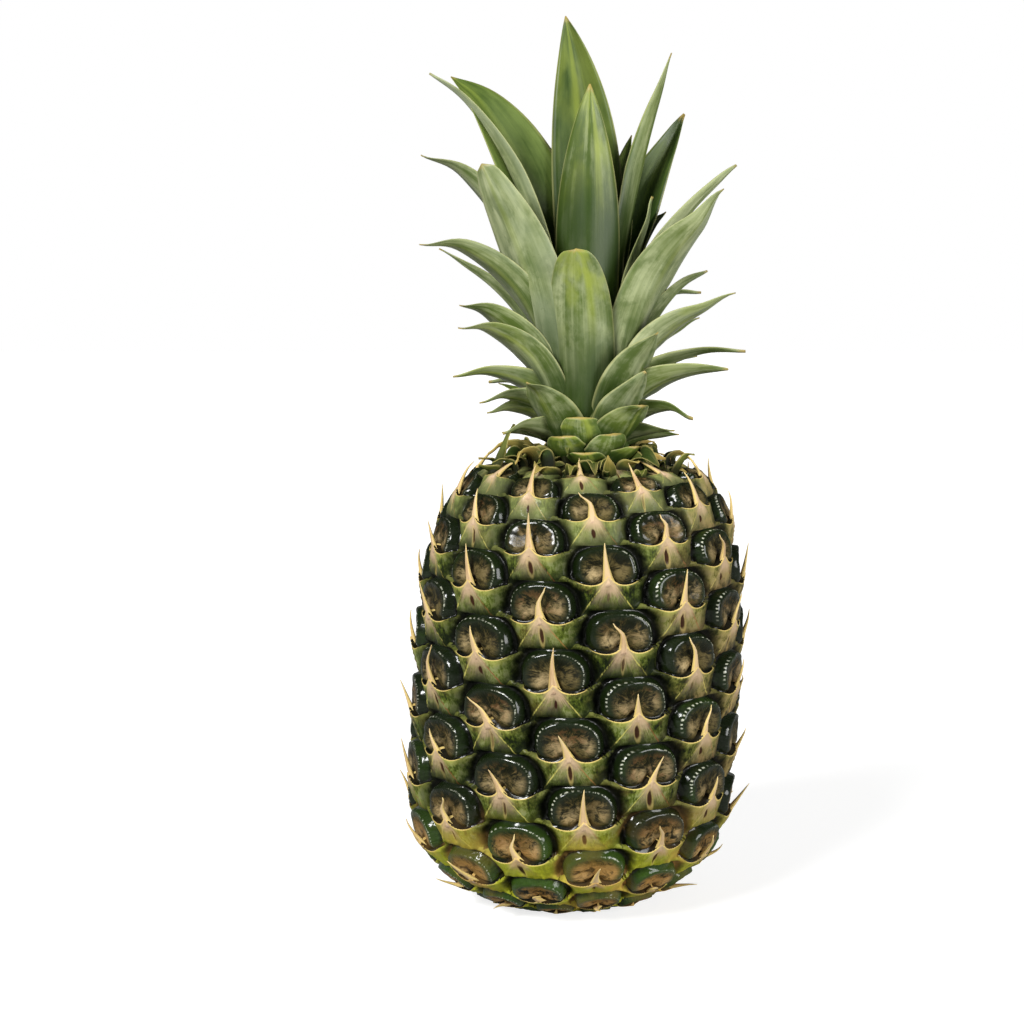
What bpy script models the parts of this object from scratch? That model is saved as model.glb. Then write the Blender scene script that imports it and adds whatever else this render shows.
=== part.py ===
"""A whole pineapple standing upright: the ripe fruit with its eyes and thorns, the leafy crown and the cut stalk."""

import math
import random
from collections import namedtuple

import bmesh
import bpy
import numpy as np
from mathutils import Vector

MM = 0.001
GAP = 0.3 * MM
MERGE = 0.001 * MM
SEED = 11

# Plain fruit, without its eyes
WIDEST_RADIUS = 56.6 * MM
WIDEST_HEIGHT = 48 * MM
PROFILE_BOTTOM = -2 * MM
PROFILE_TOP = 164 * MM
BOTTOM_POWER = 2.68
TOP_POWER = 5.15
ROUNDING = 1 / 2.2
FOOT_RADIUS = 19.8 * MM
SHOULDER_HEIGHT = 151.5 * MM
SEAT_RADIUS = 17 * MM
SEAT_HEIGHT = 156.5 * MM
LEAN = 0.05
PROFILE_SAMPLES = 600

# Eyes: 14 upright columns, each 3 rows of 7 lower than the one on its left
COLUMNS = 14
STEPS_PER_COLUMN = 4
ROWS_PER_CELL = 7
ROWS_BETWEEN_COLUMNS = 3
CELL_HEIGHT = 22.84 * MM
DRIFT_PER_CELL = math.radians(6.04)
FIRST_COLUMN_ANGLE = math.radians(8.4)
FIRST_LIP = 72.9 * MM

# Height of the skin on the rows of a cell, upwards from the lip of the bract
MIDDLE_RELIEF = (3.4 * MM, 2.6 * MM, 3.4 * MM, 1.8 * MM, -2.0 * MM, -1.2 * MM, 1.6 * MM)
SIDE_RELIEF = (2.4 * MM, 2.0 * MM, 2.4 * MM, 0.5 * MM, -2.2 * MM, -1.9 * MM, 0.4 * MM)
BETWEEN_RELIEF = -2.2 * MM
RELIEF_FADE = (20 * MM, 32 * MM)
PLAIN_RADIUS = (25 * MM, 23 * MM)

# How far the sides of a cell swell on those rows, in steps round the fruit
SWELL = (-0.5, 0.6, 1.0, 0.7, 0.0, -0.9, -0.8)
SIDE_SWELL = 0.5
BETWEEN_SWELL = 0.6

# Thorn at the middle of each lip
THORN_LENGTH = 11.5 * MM
THORN_LIFT = 3.2 * MM
THORN_SWAY = 2 * MM
THORN_LEAST_RADIUS = (47 * MM, 36 * MM)

# Stalk, in its socket under the fruit
STALK_RADIUS = 13.5 * MM
STALK_LENGTH = 5 * MM
STALK_SIDES = 32
STALK_CHAMFER = 0.6 * MM

# Stem of the crown: radius at each height above the seat
STEM = (
    (0.0, 14.5 * MM),
    (5 * MM, 14.5 * MM),
    (25 * MM, 12.5 * MM),
    (55 * MM, 8.5 * MM),
    (80 * MM, 4.5 * MM),
    (92 * MM, 2.0 * MM),
)
STEM_SIDES = 16
ROOT_SINK = 3.5 * MM

# Leaves that face the viewer, in degrees from the front and in mm above the seat. Roll turns the
# underside to the viewer, sway carries the tip aside, and a blunt leaf stays wide up to its end
Leaf = namedtuple("Leaf", "azimuth root reach tip width arch roll sway blunt", defaults=(30, 0, False))
FRONT_LEAVES = (
    Leaf(165, 42, 14, 153.5, 25.5, 0.30, 0, 11.5),
    Leaf(-3, 38, 10, 128, 22, 0.20, 0, 1),
    Leaf(-11, 12, 24, 72.5, 22.5, 0.50, 0, 0, True),
    Leaf(-107, 40, 49.5, 133.5, 28, 0.50, -38),
    Leaf(-100, 42, 55, 134, 15, 0.46, 20),
    Leaf(-142, 46, 40, 120, 18, 0.35, -25),
    Leaf(-80, 32, 56.5, 107, 15, 0.50, 30),
    Leaf(-62, 20, 41.5, 100, 22, 0.30, 35, 0, True),
    Leaf(-112, 30, 42, 93, 14, 0.30, 0),
    Leaf(-68, 18, 61.5, 77.5, 14, 0.75, 35),
    Leaf(-98, 22, 53, 71, 11, 0.50, 25),
    Leaf(-70, 11, 46.5, 55.5, 15, 0.60, 40),
    Leaf(-58, 9, 52, 48.5, 13.5, 0.75, 35),
    Leaf(-72, 6, 49, 31, 14, 1.05, 35),
    Leaf(-105, 7, 36, 26.5, 11, 1.05, 20),
    Leaf(-60, 4, 43.5, 23, 15, 1.10, 35),
    Leaf(-68, 3, 38, 18.5, 14, 1.15, 38),
    Leaf(-54, 2.5, 37, 12.5, 15, 1.10, 40),
    Leaf(-88, 2.5, 30, 9, 12, 1.10, 30),
    Leaf(-38, 5, 33, 29, 19, 0.15, 10),
    Leaf(-5, 4, 21, 15.5, 17, 0.50, 0, 0, True),
    Leaf(-26, 2, 25, 9, 15, 0.50, 0, 0, True),
    Leaf(-1, 2, 23, 6, 14, 0.50, 0, 0, True),
    Leaf(46, 9, 33, 43.5, 19, 0.40, 15),
    Leaf(36, 6, 33, 30.5, 16, 0.25, 15),
    Leaf(34, 4, 30, 20.5, 18, 0.50, 10, 0, True),
    Leaf(20, 3, 24, 9.5, 15, 0.50, 0, 0, True),
    Leaf(38, 2, 27, 7, 13, 0.50, 0, 0, True),
    Leaf(66, 18, 51, 87.5, 20, 0.55, 35),
    Leaf(96, 32, 52.5, 100.5, 12, 0.40, 35),
    Leaf(105, 45, 31, 139.5, 14, 0.25, 40),
    Leaf(122, 38, 41, 118.5, 18, 0.35, -35),
    Leaf(155, 42, 38, 112.5, 10, 0.30, 0),
    Leaf(95, 30, 24, 89.5, 14, 0.30, 10),
    Leaf(90, 16, 41, 65.5, 13, 0.50, 25),
    Leaf(112, 18, 43, 58.5, 10, 0.90, 20),
    Leaf(70, 11, 53, 54.5, 13, 0.75, 35),
    Leaf(98, 12, 40, 46.5, 12, 0.70, 25),
    Leaf(80, 7, 55, 38.5, 14, 0.95, 20),
    Leaf(66, 6, 52, 32, 15, 0.95, 40),
    Leaf(64, 4, 41, 18.5, 14, 1.15, 38),
    Leaf(60, 3, 34, 10.5, 13, 1.15, 35),
    Leaf(82, 2.5, 32, 8, 12, 1.10, 30),
)

# Leaves on the far side, placed by rule from the lowest to the highest
BACK_LEAVES = 16
BACK_MIDDLE = 180
BACK_SPREAD = 62
GOLDEN_SHARE = 0.618034

# Cross section of a leaf: left edge, keel and right edge above, then the same below
LEAF_SECTION = ((-0.5, 1), (0.0, 1), (0.5, 1), (0.5, -1), (0.0, -1), (-0.5, -1))
LEAF_THICKNESS = (1.6 * MM, 0.7 * MM)
LEAF_FOLD = (0.34, 0.14)
LEAF_WIDEST = 0.35
LEAF_ROOT_WIDTH = 0.85
LEAF_TIP_WIDTH = 1.2 * MM
LEAF_POINTING = 0.85
LEAF_BLUNTNESS = 0.4
LEAF_RING_EVERY = 20 * MM
LEAF_RINGS = (4, 7)

SKIN_COLOUR = (0.31, 0.27, 0.11, 1)
LEAF_COLOUR = (0.22, 0.31, 0.15, 1)
STALK_COLOUR = (0.56, 0.45, 0.28, 1)


def clear_scene():
    """Removes whatever the file holds."""
    for leftover in list(bpy.data.objects):
        bpy.data.objects.remove(leftover)


def material(name, colour, roughness):
    """A plain material for one piece."""
    made = bpy.data.materials.new(name)
    made.use_nodes = True
    shader = made.node_tree.nodes["Principled BSDF"]
    shader.inputs["Base Color"].default_value = colour
    shader.inputs["Roughness"].default_value = roughness
    shader.inputs["Metallic"].default_value = 0
    made.diffuse_color = colour
    return made


def blend(pair, share):
    """The value between the two of a pair."""
    return pair[0] + (pair[1] - pair[0]) * share


def rise(low, high, value):
    """A smooth step from 0 at low to 1 at high."""
    share = min(max((value - low) / (high - low), 0), 1)
    return share * share * (3 - 2 * share)


def tube(name, around, rings, place, two_faced=False):
    """Closed mesh object of rings of points, each end closed by one flat face.

    place(step, ring) gives each point. A two-faced tube is a thin blade whose back
    is split along the same diagonals as its front.
    """
    bm = bmesh.new()
    bmesh.ops.create_grid(bm, x_segments=around, y_segments=rings - 1, size=1)
    bm.verts.ensure_lookup_table()
    for index, vert in enumerate(bm.verts):
        ring, step = divmod(index, around + 1)
        vert.co = place(step % around, ring)
    if two_faced:
        half = around // 2
        back = [face for index, face in enumerate(bm.faces) if index % around >= half]
        front = [face for index, face in enumerate(bm.faces) if index % around < half]
        bmesh.ops.triangulate(bm, faces=front, quad_method="FIXED")
        bmesh.ops.triangulate(bm, faces=back, quad_method="ALTERNATE")
    bmesh.ops.remove_doubles(bm, verts=bm.verts, dist=MERGE)
    rim = [edge for edge in bm.edges if edge.is_boundary]
    bmesh.ops.holes_fill(bm, edges=rim, sides=0)
    bmesh.ops.recalc_face_normals(bm, faces=bm.faces)
    mesh = bpy.data.meshes.new(name)
    bm.to_mesh(mesh)
    bm.free()
    return bpy.data.objects.new(name, mesh)


def islands(bm):
    """The separate closed shells of a mesh, as lists of vertices."""
    waiting = set(bm.verts)
    while waiting:
        found = []
        edge_of_island = [waiting.pop()]
        while edge_of_island:
            vert = edge_of_island.pop()
            found.append(vert)
            for edge in vert.link_edges:
                other = edge.other_vert(vert)
                if other in waiting:
                    waiting.remove(other)
                    edge_of_island.append(other)
        yield found


def keep_outer_shell(mesh):
    """Fills the pockets that pieces close between them, by dropping every shell but the largest."""
    bm = bmesh.new()
    bm.from_mesh(mesh)
    shells = sorted(islands(bm), key=len)
    for shell in shells[:-1]:
        bmesh.ops.delete(bm, geom=shell, context="VERTS")
    bm.to_mesh(mesh)
    bm.free()


def fuse(body, pieces, name):
    """Joins the pieces to the body with one union, and removes them."""
    group = bpy.data.collections.new(name)
    bpy.context.scene.collection.children.link(group)
    for piece in pieces:
        group.objects.link(piece)
    union = body.modifiers.new(name, "BOOLEAN")
    union.operation = "UNION"
    union.operand_type = "COLLECTION"
    union.solver = "EXACT"
    union.collection = group
    graph = bpy.context.evaluated_depsgraph_get()
    joined = bpy.data.meshes.new_from_object(body.evaluated_get(graph))
    keep_outer_shell(joined)
    body.modifiers.remove(union)
    body.data = joined
    for piece in pieces:
        bpy.data.objects.remove(piece)
    bpy.data.collections.remove(group)


def finish(piece, look, smooth_angle):
    """Gives a piece its material and smooth shading up to an angle."""
    piece.data.materials.clear()
    piece.data.materials.append(look)
    piece.data.shade_smooth()
    piece.data.set_sharp_from_angle(angle=smooth_angle)


def flank_radius(height):
    """Radius of the plain fruit at a height below the shoulder."""
    if height > WIDEST_HEIGHT:
        share = (height - WIDEST_HEIGHT) / (PROFILE_TOP - WIDEST_HEIGHT)
        power = TOP_POWER
    else:
        share = (WIDEST_HEIGHT - height) / (WIDEST_HEIGHT - PROFILE_BOTTOM)
        power = BOTTOM_POWER
    return WIDEST_RADIUS * (1 - share**power) ** ROUNDING


class Flank:
    """The plain fruit's outline from the foot to the seat, measured by its girdle.

    The girdle grows by the same amount wherever a cell would be as tall as it is wide,
    so the eyes keep their shape while they get smaller towards both ends.
    """

    def __init__(self):
        heights = np.linspace(0, SHOULDER_HEIGHT, PROFILE_SAMPLES)
        radii = np.array([flank_radius(height) for height in heights])
        cap = np.linspace(0, 1, PROFILE_SAMPLES // 4)[1:]
        self.heights = np.append(heights, SHOULDER_HEIGHT + (SEAT_HEIGHT - SHOULDER_HEIGHT) * cap)
        self.radii = np.append(radii, radii[-1] + (SEAT_RADIUS - radii[-1]) * cap)
        rises = np.diff(self.heights)
        spreads = np.diff(self.radii)
        lengths = np.hypot(rises, spreads)
        middles = (self.radii[1:] + self.radii[:-1]) / 2
        self.girdle = np.append(0, np.cumsum(lengths * WIDEST_RADIUS / middles))
        self.girdle -= np.interp(WIDEST_HEIGHT, self.heights, self.girdle)
        slopes = np.arctan2(-spreads, rises)
        self.slopes = np.append(slopes, slopes[-1])

    def girdle_of(self, radius, upper):
        """Girdle where the upper or the lower half of the outline has a radius."""
        half = (self.heights > WIDEST_HEIGHT) == upper
        order = np.argsort(self.radii[half])
        return float(np.interp(radius, self.radii[half][order], self.girdle[half][order]))

    def at(self, girdle):
        """Radius, height and backward slope of the outline at a girdle."""
        return (
            float(np.interp(girdle, self.girdle, self.radii)),
            float(np.interp(girdle, self.girdle, self.heights)),
            float(np.interp(girdle, self.girdle, self.slopes)),
        )


def lean(point):
    """The fruit leans a little to its right as it goes up."""
    return Vector((point.x + LEAN * point.z, point.y, point.z))


def round_point(angle, radius, height):
    """A point at an angle that starts at the front, -Y, and goes round by the right, +X."""
    return Vector((radius * math.sin(angle), -radius * math.cos(angle), height))


def relief(column_step, row):
    """Height of the skin at a step across its column, on a row of its cell."""
    if column_step == 0:
        return MIDDLE_RELIEF[row]
    return SIDE_RELIEF[row] if abs(column_step) == 1 else BETWEEN_RELIEF


def swell(column_step, row):
    """How far a point moves round the fruit, so that round cells mesh with their neighbours."""
    if abs(column_step) < 2:
        return column_step * SIDE_SWELL * SWELL[row]
    next_row = (row + ROWS_BETWEEN_COLUMNS) % ROWS_PER_CELL
    return BETWEEN_SWELL * (SWELL[row] - SWELL[next_row]) / 2


def thorn_tip(angle, radius, height, slope, seed):
    """Where the middle of a lip is drawn out to, up over the eye above it."""
    chance = random.Random(seed)
    scale = math.sqrt(radius / WIDEST_RADIUS)
    length = THORN_LENGTH * scale * chance.uniform(0.85, 1.1)
    lift = MIDDLE_RELIEF[0] + THORN_LIFT * scale * chance.uniform(0.8, 1.2)
    out = round_point(angle, math.cos(slope), math.sin(slope))
    up = round_point(angle, -math.sin(slope), math.cos(slope))
    side = round_point(angle + math.pi / 2, 1, 0)
    sway = THORN_SWAY * chance.uniform(-1, 1)
    return round_point(angle, radius, height) + up * length + out * lift + side * sway


def make_skin(flank):
    """The fruit's body, with its eyes, bracts and thorns raised from the plain surface."""
    row_height = CELL_HEIGHT / ROWS_PER_CELL
    rows_below = int((FIRST_LIP - flank.girdle_of(PLAIN_RADIUS[0], False)) / row_height)
    rows_above = int((flank.girdle_of(PLAIN_RADIUS[1], True) - FIRST_LIP) / row_height)
    skin_rows = rows_below + rows_above + 1
    steps = COLUMNS * STEPS_PER_COLUMN
    step_angle = 2 * math.pi / steps
    socket_radius = STALK_RADIUS + GAP
    lead_in = (
        (socket_radius, STALK_LENGTH + GAP),
        (socket_radius, 0.0),
        (FOOT_RADIUS, 0.0),
    )

    def place(step, ring):
        plain_angle = step_angle * step + FIRST_COLUMN_ANGLE
        if ring < len(lead_in):
            return lean(round_point(plain_angle, *lead_in[ring]))
        if ring == len(lead_in) + skin_rows:
            return lean(round_point(plain_angle, SEAT_RADIUS, SEAT_HEIGHT))
        level = ring - len(lead_in) - rows_below
        radius, height, slope = flank.at(FIRST_LIP + level * row_height)
        column = (step + STEPS_PER_COLUMN // 2 - 1) // STEPS_PER_COLUMN
        column_step = step - column * STEPS_PER_COLUMN
        row = (level + column * ROWS_BETWEEN_COLUMNS) % ROWS_PER_CELL
        angle = plain_angle - DRIFT_PER_CELL * level / ROWS_PER_CELL
        if row == 0 and column_step == 0 and radius > THORN_LEAST_RADIUS[level > 0]:
            return lean(thorn_tip(angle, radius, height, slope, SEED + level * COLUMNS + column))
        angle += step_angle * swell(column_step, row)
        raised = relief(column_step, row) * radius / WIDEST_RADIUS * rise(*RELIEF_FADE, radius)
        return lean(round_point(angle, radius + raised * math.cos(slope), height + raised * math.sin(slope)))

    return tube("fruit", steps, len(lead_in) + skin_rows + 1, place)


def make_fruit(collection):
    """The fruit: body, eyes, bracts and thorns grown as one piece."""
    fruit = make_skin(Flank())
    collection.objects.link(fruit)
    finish(fruit, material("pineapple skin", SKIN_COLOUR, 0.6), math.radians(50))
    return fruit


def make_stalk(collection):
    """The stub of the cut stalk, flush with the foot of the fruit."""
    rings = (
        (STALK_RADIUS - STALK_CHAMFER, 0.0),
        (STALK_RADIUS, STALK_CHAMFER),
        (STALK_RADIUS, STALK_LENGTH),
    )

    def place(step, ring):
        return lean(round_point(2 * math.pi * step / STALK_SIDES, *rings[ring]))

    stalk = tube("stalk", STALK_SIDES, len(rings), place)
    collection.objects.link(stalk)
    finish(stalk, material("cut stalk", STALK_COLOUR, 0.8), math.radians(40))
    return stalk


def stem_radius(height):
    """Radius of the crown's stem at a height above the seat."""
    return float(np.interp(height, *zip(*STEM)))


def leaf_width(share, blunt):
    """Width along a leaf as a share of its greatest width."""
    if share < LEAF_WIDEST:
        return blend((LEAF_ROOT_WIDTH, 1), math.sin(share / LEAF_WIDEST * math.pi / 2))
    taper = math.cos((share - LEAF_WIDEST) / (1 - LEAF_WIDEST) * math.pi / 2)
    return taper ** (LEAF_BLUNTNESS if blunt else LEAF_POINTING)


def make_leaf(leaf):
    """A folded, pointed blade that rises from the stem and arches outwards."""
    angle = math.radians(leaf.azimuth)
    roll = -math.radians(leaf.roll) * math.sin(angle)
    width = leaf.width * MM
    root = Vector((stem_radius(leaf.root * MM) - ROOT_SINK, leaf.root * MM))
    tip = Vector((leaf.reach, leaf.tip)) * MM
    bend = (root + tip) / 2 + (Vector((root.x, tip.y)) - (root + tip) / 2) * leaf.arch
    side = round_point(angle + math.pi / 2, 1, 0)
    length = (bend - root).length + (tip - bend).length
    rings = min(max(round(length / LEAF_RING_EVERY) + 2, LEAF_RINGS[0]), LEAF_RINGS[1])

    def place(step, ring):
        share = ring / (rings - 1)
        left = 1 - share
        middle = root * left**2 + bend * (2 * left * share) + tip * share**2
        along = ((bend - root) * left + (tip - bend) * share).normalized()
        across, face = LEAF_SECTION[step]
        wide = max(width * leaf_width(share, leaf.blunt), LEAF_TIP_WIDTH)
        fold = wide * blend(LEAF_FOLD, share) * (abs(across) * 2 - 0.5)
        inward = fold + face * blend(LEAF_THICKNESS, share) / 2
        turn = roll * min(2 * share, 1)
        sideways = across * wide * math.cos(turn) - inward * math.sin(turn) + leaf.sway * MM * share**2
        inward = across * wide * math.sin(turn) + inward * math.cos(turn)
        point = middle + Vector((-along.y, along.x)) * inward
        return round_point(angle, point.x, point.y) + side * sideways

    return tube("leaf", len(LEAF_SECTION), rings, place, two_faced=True)


def back_leaf(index):
    """Sizes of one leaf on the far side, the higher the longer and the straighter."""
    share = index / (BACK_LEAVES - 1)
    return Leaf(
        azimuth=BACK_MIDDLE + BACK_SPREAD * (2 * (index * GOLDEN_SHARE % 1) - 1),
        root=2.5 + 38 * share,
        reach=32 + 20 * math.sin(math.pi * min(1.25 * share, 1)),
        tip=8 + 92 * share**1.15,
        width=11 + 8 * share,
        arch=0.8 - 0.45 * share,
        roll=0,
    )


def make_crown(collection):
    """The crown: its short stem and all of its leaves, grown as one piece."""

    def place(step, ring):
        height, radius = STEM[ring]
        return round_point(2 * math.pi * step / STEM_SIDES, radius, height)

    crown = tube("crown", STEM_SIDES, len(STEM), place)
    collection.objects.link(crown)
    leaves = list(FRONT_LEAVES) + [back_leaf(index) for index in range(BACK_LEAVES)]
    fuse(crown, [make_leaf(leaf) for leaf in leaves], "leaves")
    crown.location = (LEAN * SEAT_HEIGHT, 0, SEAT_HEIGHT + GAP)
    finish(crown, material("crown leaf", LEAF_COLOUR, 0.5), math.radians(50))
    return crown


def main():
    clear_scene()
    collection = bpy.data.collections.new("pineapple")
    bpy.context.scene.collection.children.link(collection)
    make_fruit(collection)
    make_crown(collection)
    make_stalk(collection)


if __name__ == "__main__":
    main()
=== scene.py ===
"""Visual model of a whole pineapple: rind with its eyes, thorns, dried collar, leafy crown and cut stalk."""

import logging
import math
import random
from collections.abc import Callable
from dataclasses import dataclass, fields, replace
from enum import Enum
from typing import TypeAlias

import bmesh
import bpy
import numpy as np
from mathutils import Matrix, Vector


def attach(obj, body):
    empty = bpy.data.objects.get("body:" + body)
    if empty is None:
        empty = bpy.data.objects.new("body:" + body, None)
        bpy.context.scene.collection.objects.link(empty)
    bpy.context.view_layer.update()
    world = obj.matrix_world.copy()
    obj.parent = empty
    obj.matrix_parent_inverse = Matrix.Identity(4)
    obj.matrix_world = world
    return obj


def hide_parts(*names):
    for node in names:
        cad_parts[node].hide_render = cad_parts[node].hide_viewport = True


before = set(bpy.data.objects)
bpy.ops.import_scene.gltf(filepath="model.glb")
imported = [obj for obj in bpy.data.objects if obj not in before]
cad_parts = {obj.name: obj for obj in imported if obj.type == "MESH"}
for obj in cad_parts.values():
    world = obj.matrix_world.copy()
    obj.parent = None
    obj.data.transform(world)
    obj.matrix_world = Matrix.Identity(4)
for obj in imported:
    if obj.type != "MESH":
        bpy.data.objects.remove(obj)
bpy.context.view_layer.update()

log = logging.getLogger("pineapple")

MM = 0.001
TAU = 2 * math.pi
MERGE = 0.001 * MM
PICTURE_SIDE = 1024
WHITE = (1.0, 1.0, 1.0, 1.0)

Triple = tuple[float, float, float]
Colour = tuple[float, float, float, float]
Field = np.ndarray
Chart = Callable[[Field, Field], tuple[Field, Field]]
Key = str | int
Inputs = dict[Key, object]
Number: TypeAlias = "Value | float"


def smooth(low: float, high: float, value: Field | float) -> Field | float:
    """A smooth step from 0 at low to 1 at high.

    Args:
        low: Value up to which the step is 0.
        high: Value from which the step is 1.
        value: Where the step is read.

    Returns:
        The height of the step.
    """
    share = np.clip((value - low) / (high - low), 0, 1)
    return share * share * (3 - 2 * share)


def bell(value: Field | float, width: float) -> Field | float:
    """A bump that is 1 at 0 and fades out over a width."""
    return np.exp(-((value / width) ** 2))


def srgb(red: int, green: int, blue: int) -> Colour:
    """The linear colour of an 8-bit screen colour.

    Args:
        red: Red from 0 to 255.
        green: Green from 0 to 255.
        blue: Blue from 0 to 255.

    Returns:
        Linear red, green and blue, with an alpha of 1.
    """
    shares = (channel / 255 for channel in (red, green, blue))
    linear = (s / 12.92 if s < 0.04045 else ((s + 0.055) / 1.055) ** 2.4 for s in shares)
    return (*linear, 1.0)


def around(angle: Field | float, radius: Field | float, height: Field | float) -> Field:
    """Points at an angle that starts at the front, -Y, and goes round by the right, +X."""
    return np.stack(np.broadcast_arrays(radius * np.sin(angle), -radius * np.cos(angle), height), -1)


@dataclass(frozen=True)
class SheetMesh:
    """A grid of points that is wrapped, closed and made a piece of the scene."""

    name: str
    columns: int
    rings: int

    def build(
        self,
        place: Callable[[Field, Field], Field],
        chart: Chart | None = None,
        layers: dict[str, Callable[[Field, Field], Field]] | None = None,
    ) -> bpy.types.Object:
        """Makes the piece.

        Args:
            place: Gives the points at grid steps and rings, in metres.
            chart: Gives the UV at grid steps and rings; the plain grid if left out.
            layers: Named values to store on the points, such as a leaf's tone.

        Returns:
            The new object, closed at its ends, at the origin.
        """
        bm = bmesh.new()
        bm.loops.layers.uv.new("UVMap")
        bmesh.ops.create_grid(bm, x_segments=self.columns, y_segments=self.rings - 1, size=1, calc_uvs=True)
        mesh = bpy.data.meshes.new(self.name)
        bm.to_mesh(mesh)
        bm.free()
        index = np.arange((self.columns + 1) * self.rings)
        ring, step = np.divmod(index, self.columns + 1)
        turned = step % self.columns
        mesh.vertices.foreach_set("co", place(turned, ring).astype(np.float32).ravel())
        self._chart(mesh, chart)
        for layer, value in (layers or {}).items():
            held = np.broadcast_to(value(turned, ring), index.shape).astype(np.float32)
            mesh.attributes.new(layer, "FLOAT", "POINT").data.foreach_set("value", held)
        self._close(mesh)
        mesh.shade_smooth()
        piece = bpy.data.objects.new(self.name, mesh)
        bpy.context.scene.collection.objects.link(piece)
        return piece

    def _chart(self, mesh: bpy.types.Mesh, chart: Chart | None) -> None:
        """Writes the UV of each corner from its grid step and ring.

        Args:
            mesh: The grid's mesh, with a UV layer.
            chart: Gives the UV at grid steps and rings.
        """
        corners = np.empty(len(mesh.loops), np.int32)
        mesh.loops.foreach_get("vertex_index", corners)
        ring, step = np.divmod(corners, self.columns + 1)
        pair = chart(step, ring) if chart else (step / self.columns, ring / (self.rings - 1))
        uv = np.stack(np.broadcast_arrays(*pair), -1).astype(np.float32)
        mesh.uv_layers["UVMap"].data.foreach_set("uv", uv.ravel())

    def _close(self, mesh: bpy.types.Mesh) -> None:
        """Joins the seam, closes both ends and turns the faces outwards."""
        bm = bmesh.new()
        bm.from_mesh(mesh)
        bmesh.ops.remove_doubles(bm, verts=bm.verts, dist=MERGE)
        rim = [edge for edge in bm.edges if edge.is_boundary]
        bmesh.ops.holes_fill(bm, edges=rim, sides=0)
        bmesh.ops.recalc_face_normals(bm, faces=bm.faces)
        bm.to_mesh(mesh)
        bm.free()


def joined(pieces: list[bpy.types.Object], name: str) -> bpy.types.Object:
    """Joins pieces into one.

    Args:
        pieces: The pieces, which are removed.
        name: The name of the joined piece.

    Returns:
        The joined piece.
    """
    with bpy.context.temp_override(active_object=pieces[0], selected_editable_objects=pieces):
        bpy.ops.object.join()
    pieces[0].name = name
    pieces[0].data.name = name
    return pieces[0]


def dress(piece: bpy.types.Object, look: bpy.types.Material, node: str) -> None:
    """Gives a piece its material, hangs it under the root body and hides the solid that it replaces.

    Args:
        piece: The piece.
        look: Its material.
        node: The solid that it replaces.
    """
    piece.data.materials.clear()
    piece.data.materials.append(look)
    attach(piece, "root")
    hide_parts(node)
    log.info("%s: %d faces", piece.name, len(piece.data.polygons))


def by_node(operation: str) -> Callable[..., "Value"]:
    """A method of a value that puts it through a Math node.

    Args:
        operation: The node's operation.

    Returns:
        The method, which takes the operation's second number where it has one.
    """

    def method(value: "Value", *others: Number) -> "Value":
        """The node's result."""
        return value.nodes.math(operation, value, *others)

    return method


class Value:
    """A number, vector or colour of a material, used in formulas like a plain number."""

    def __init__(self, nodes: "Nodes", socket: bpy.types.NodeSocket) -> None:
        """Holds a socket and the nodes that it belongs to."""
        self.nodes = nodes
        self.socket = socket

    __add__ = by_node("ADD")
    __sub__ = by_node("SUBTRACT")
    __mul__ = by_node("MULTIPLY")
    __pow__ = by_node("POWER")
    __abs__ = by_node("ABSOLUTE")
    __round__ = by_node("ROUND")
    __floor__ = by_node("FLOOR")
    __gt__ = by_node("GREATER_THAN")
    __lt__ = by_node("LESS_THAN")
    least = by_node("MINIMUM")
    most = by_node("MAXIMUM")
    fraction = by_node("FRACT")
    remainder = by_node("FLOORED_MODULO")
    sine = by_node("SINE")
    cosine = by_node("COSINE")
    exponential = by_node("EXPONENT")
    square_root = by_node("SQRT")

    def __truediv__(self, other: Number) -> "Value":
        """The quotient."""
        return self.nodes.math("DIVIDE", self, other) if isinstance(other, Value) else self * (1 / other)

    def ramp(self, low: float, high: float, start: float = 0.0, end: float = 1.0) -> "Value":
        """A smooth step of this value.

        Args:
            low: Where the step starts.
            high: Where it ends; below low for a step down.
            start: Result at the start.
            end: Result at the end.

        Returns:
            The step.
        """
        if low > high:
            low, high, start, end = high, low, end, start
        values = {"Value": self, 1: low, 2: high, 3: start, 4: end}
        return self.nodes.value("ShaderNodeMapRange", values, interpolation_type="SMOOTHSTEP")

    def line(self, middle: Number, half: float, soft: float) -> "Value":
        """A band that is 1 within half of the middle and fades over soft on both sides."""
        return abs(self - middle).ramp(half + soft, half)


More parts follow.
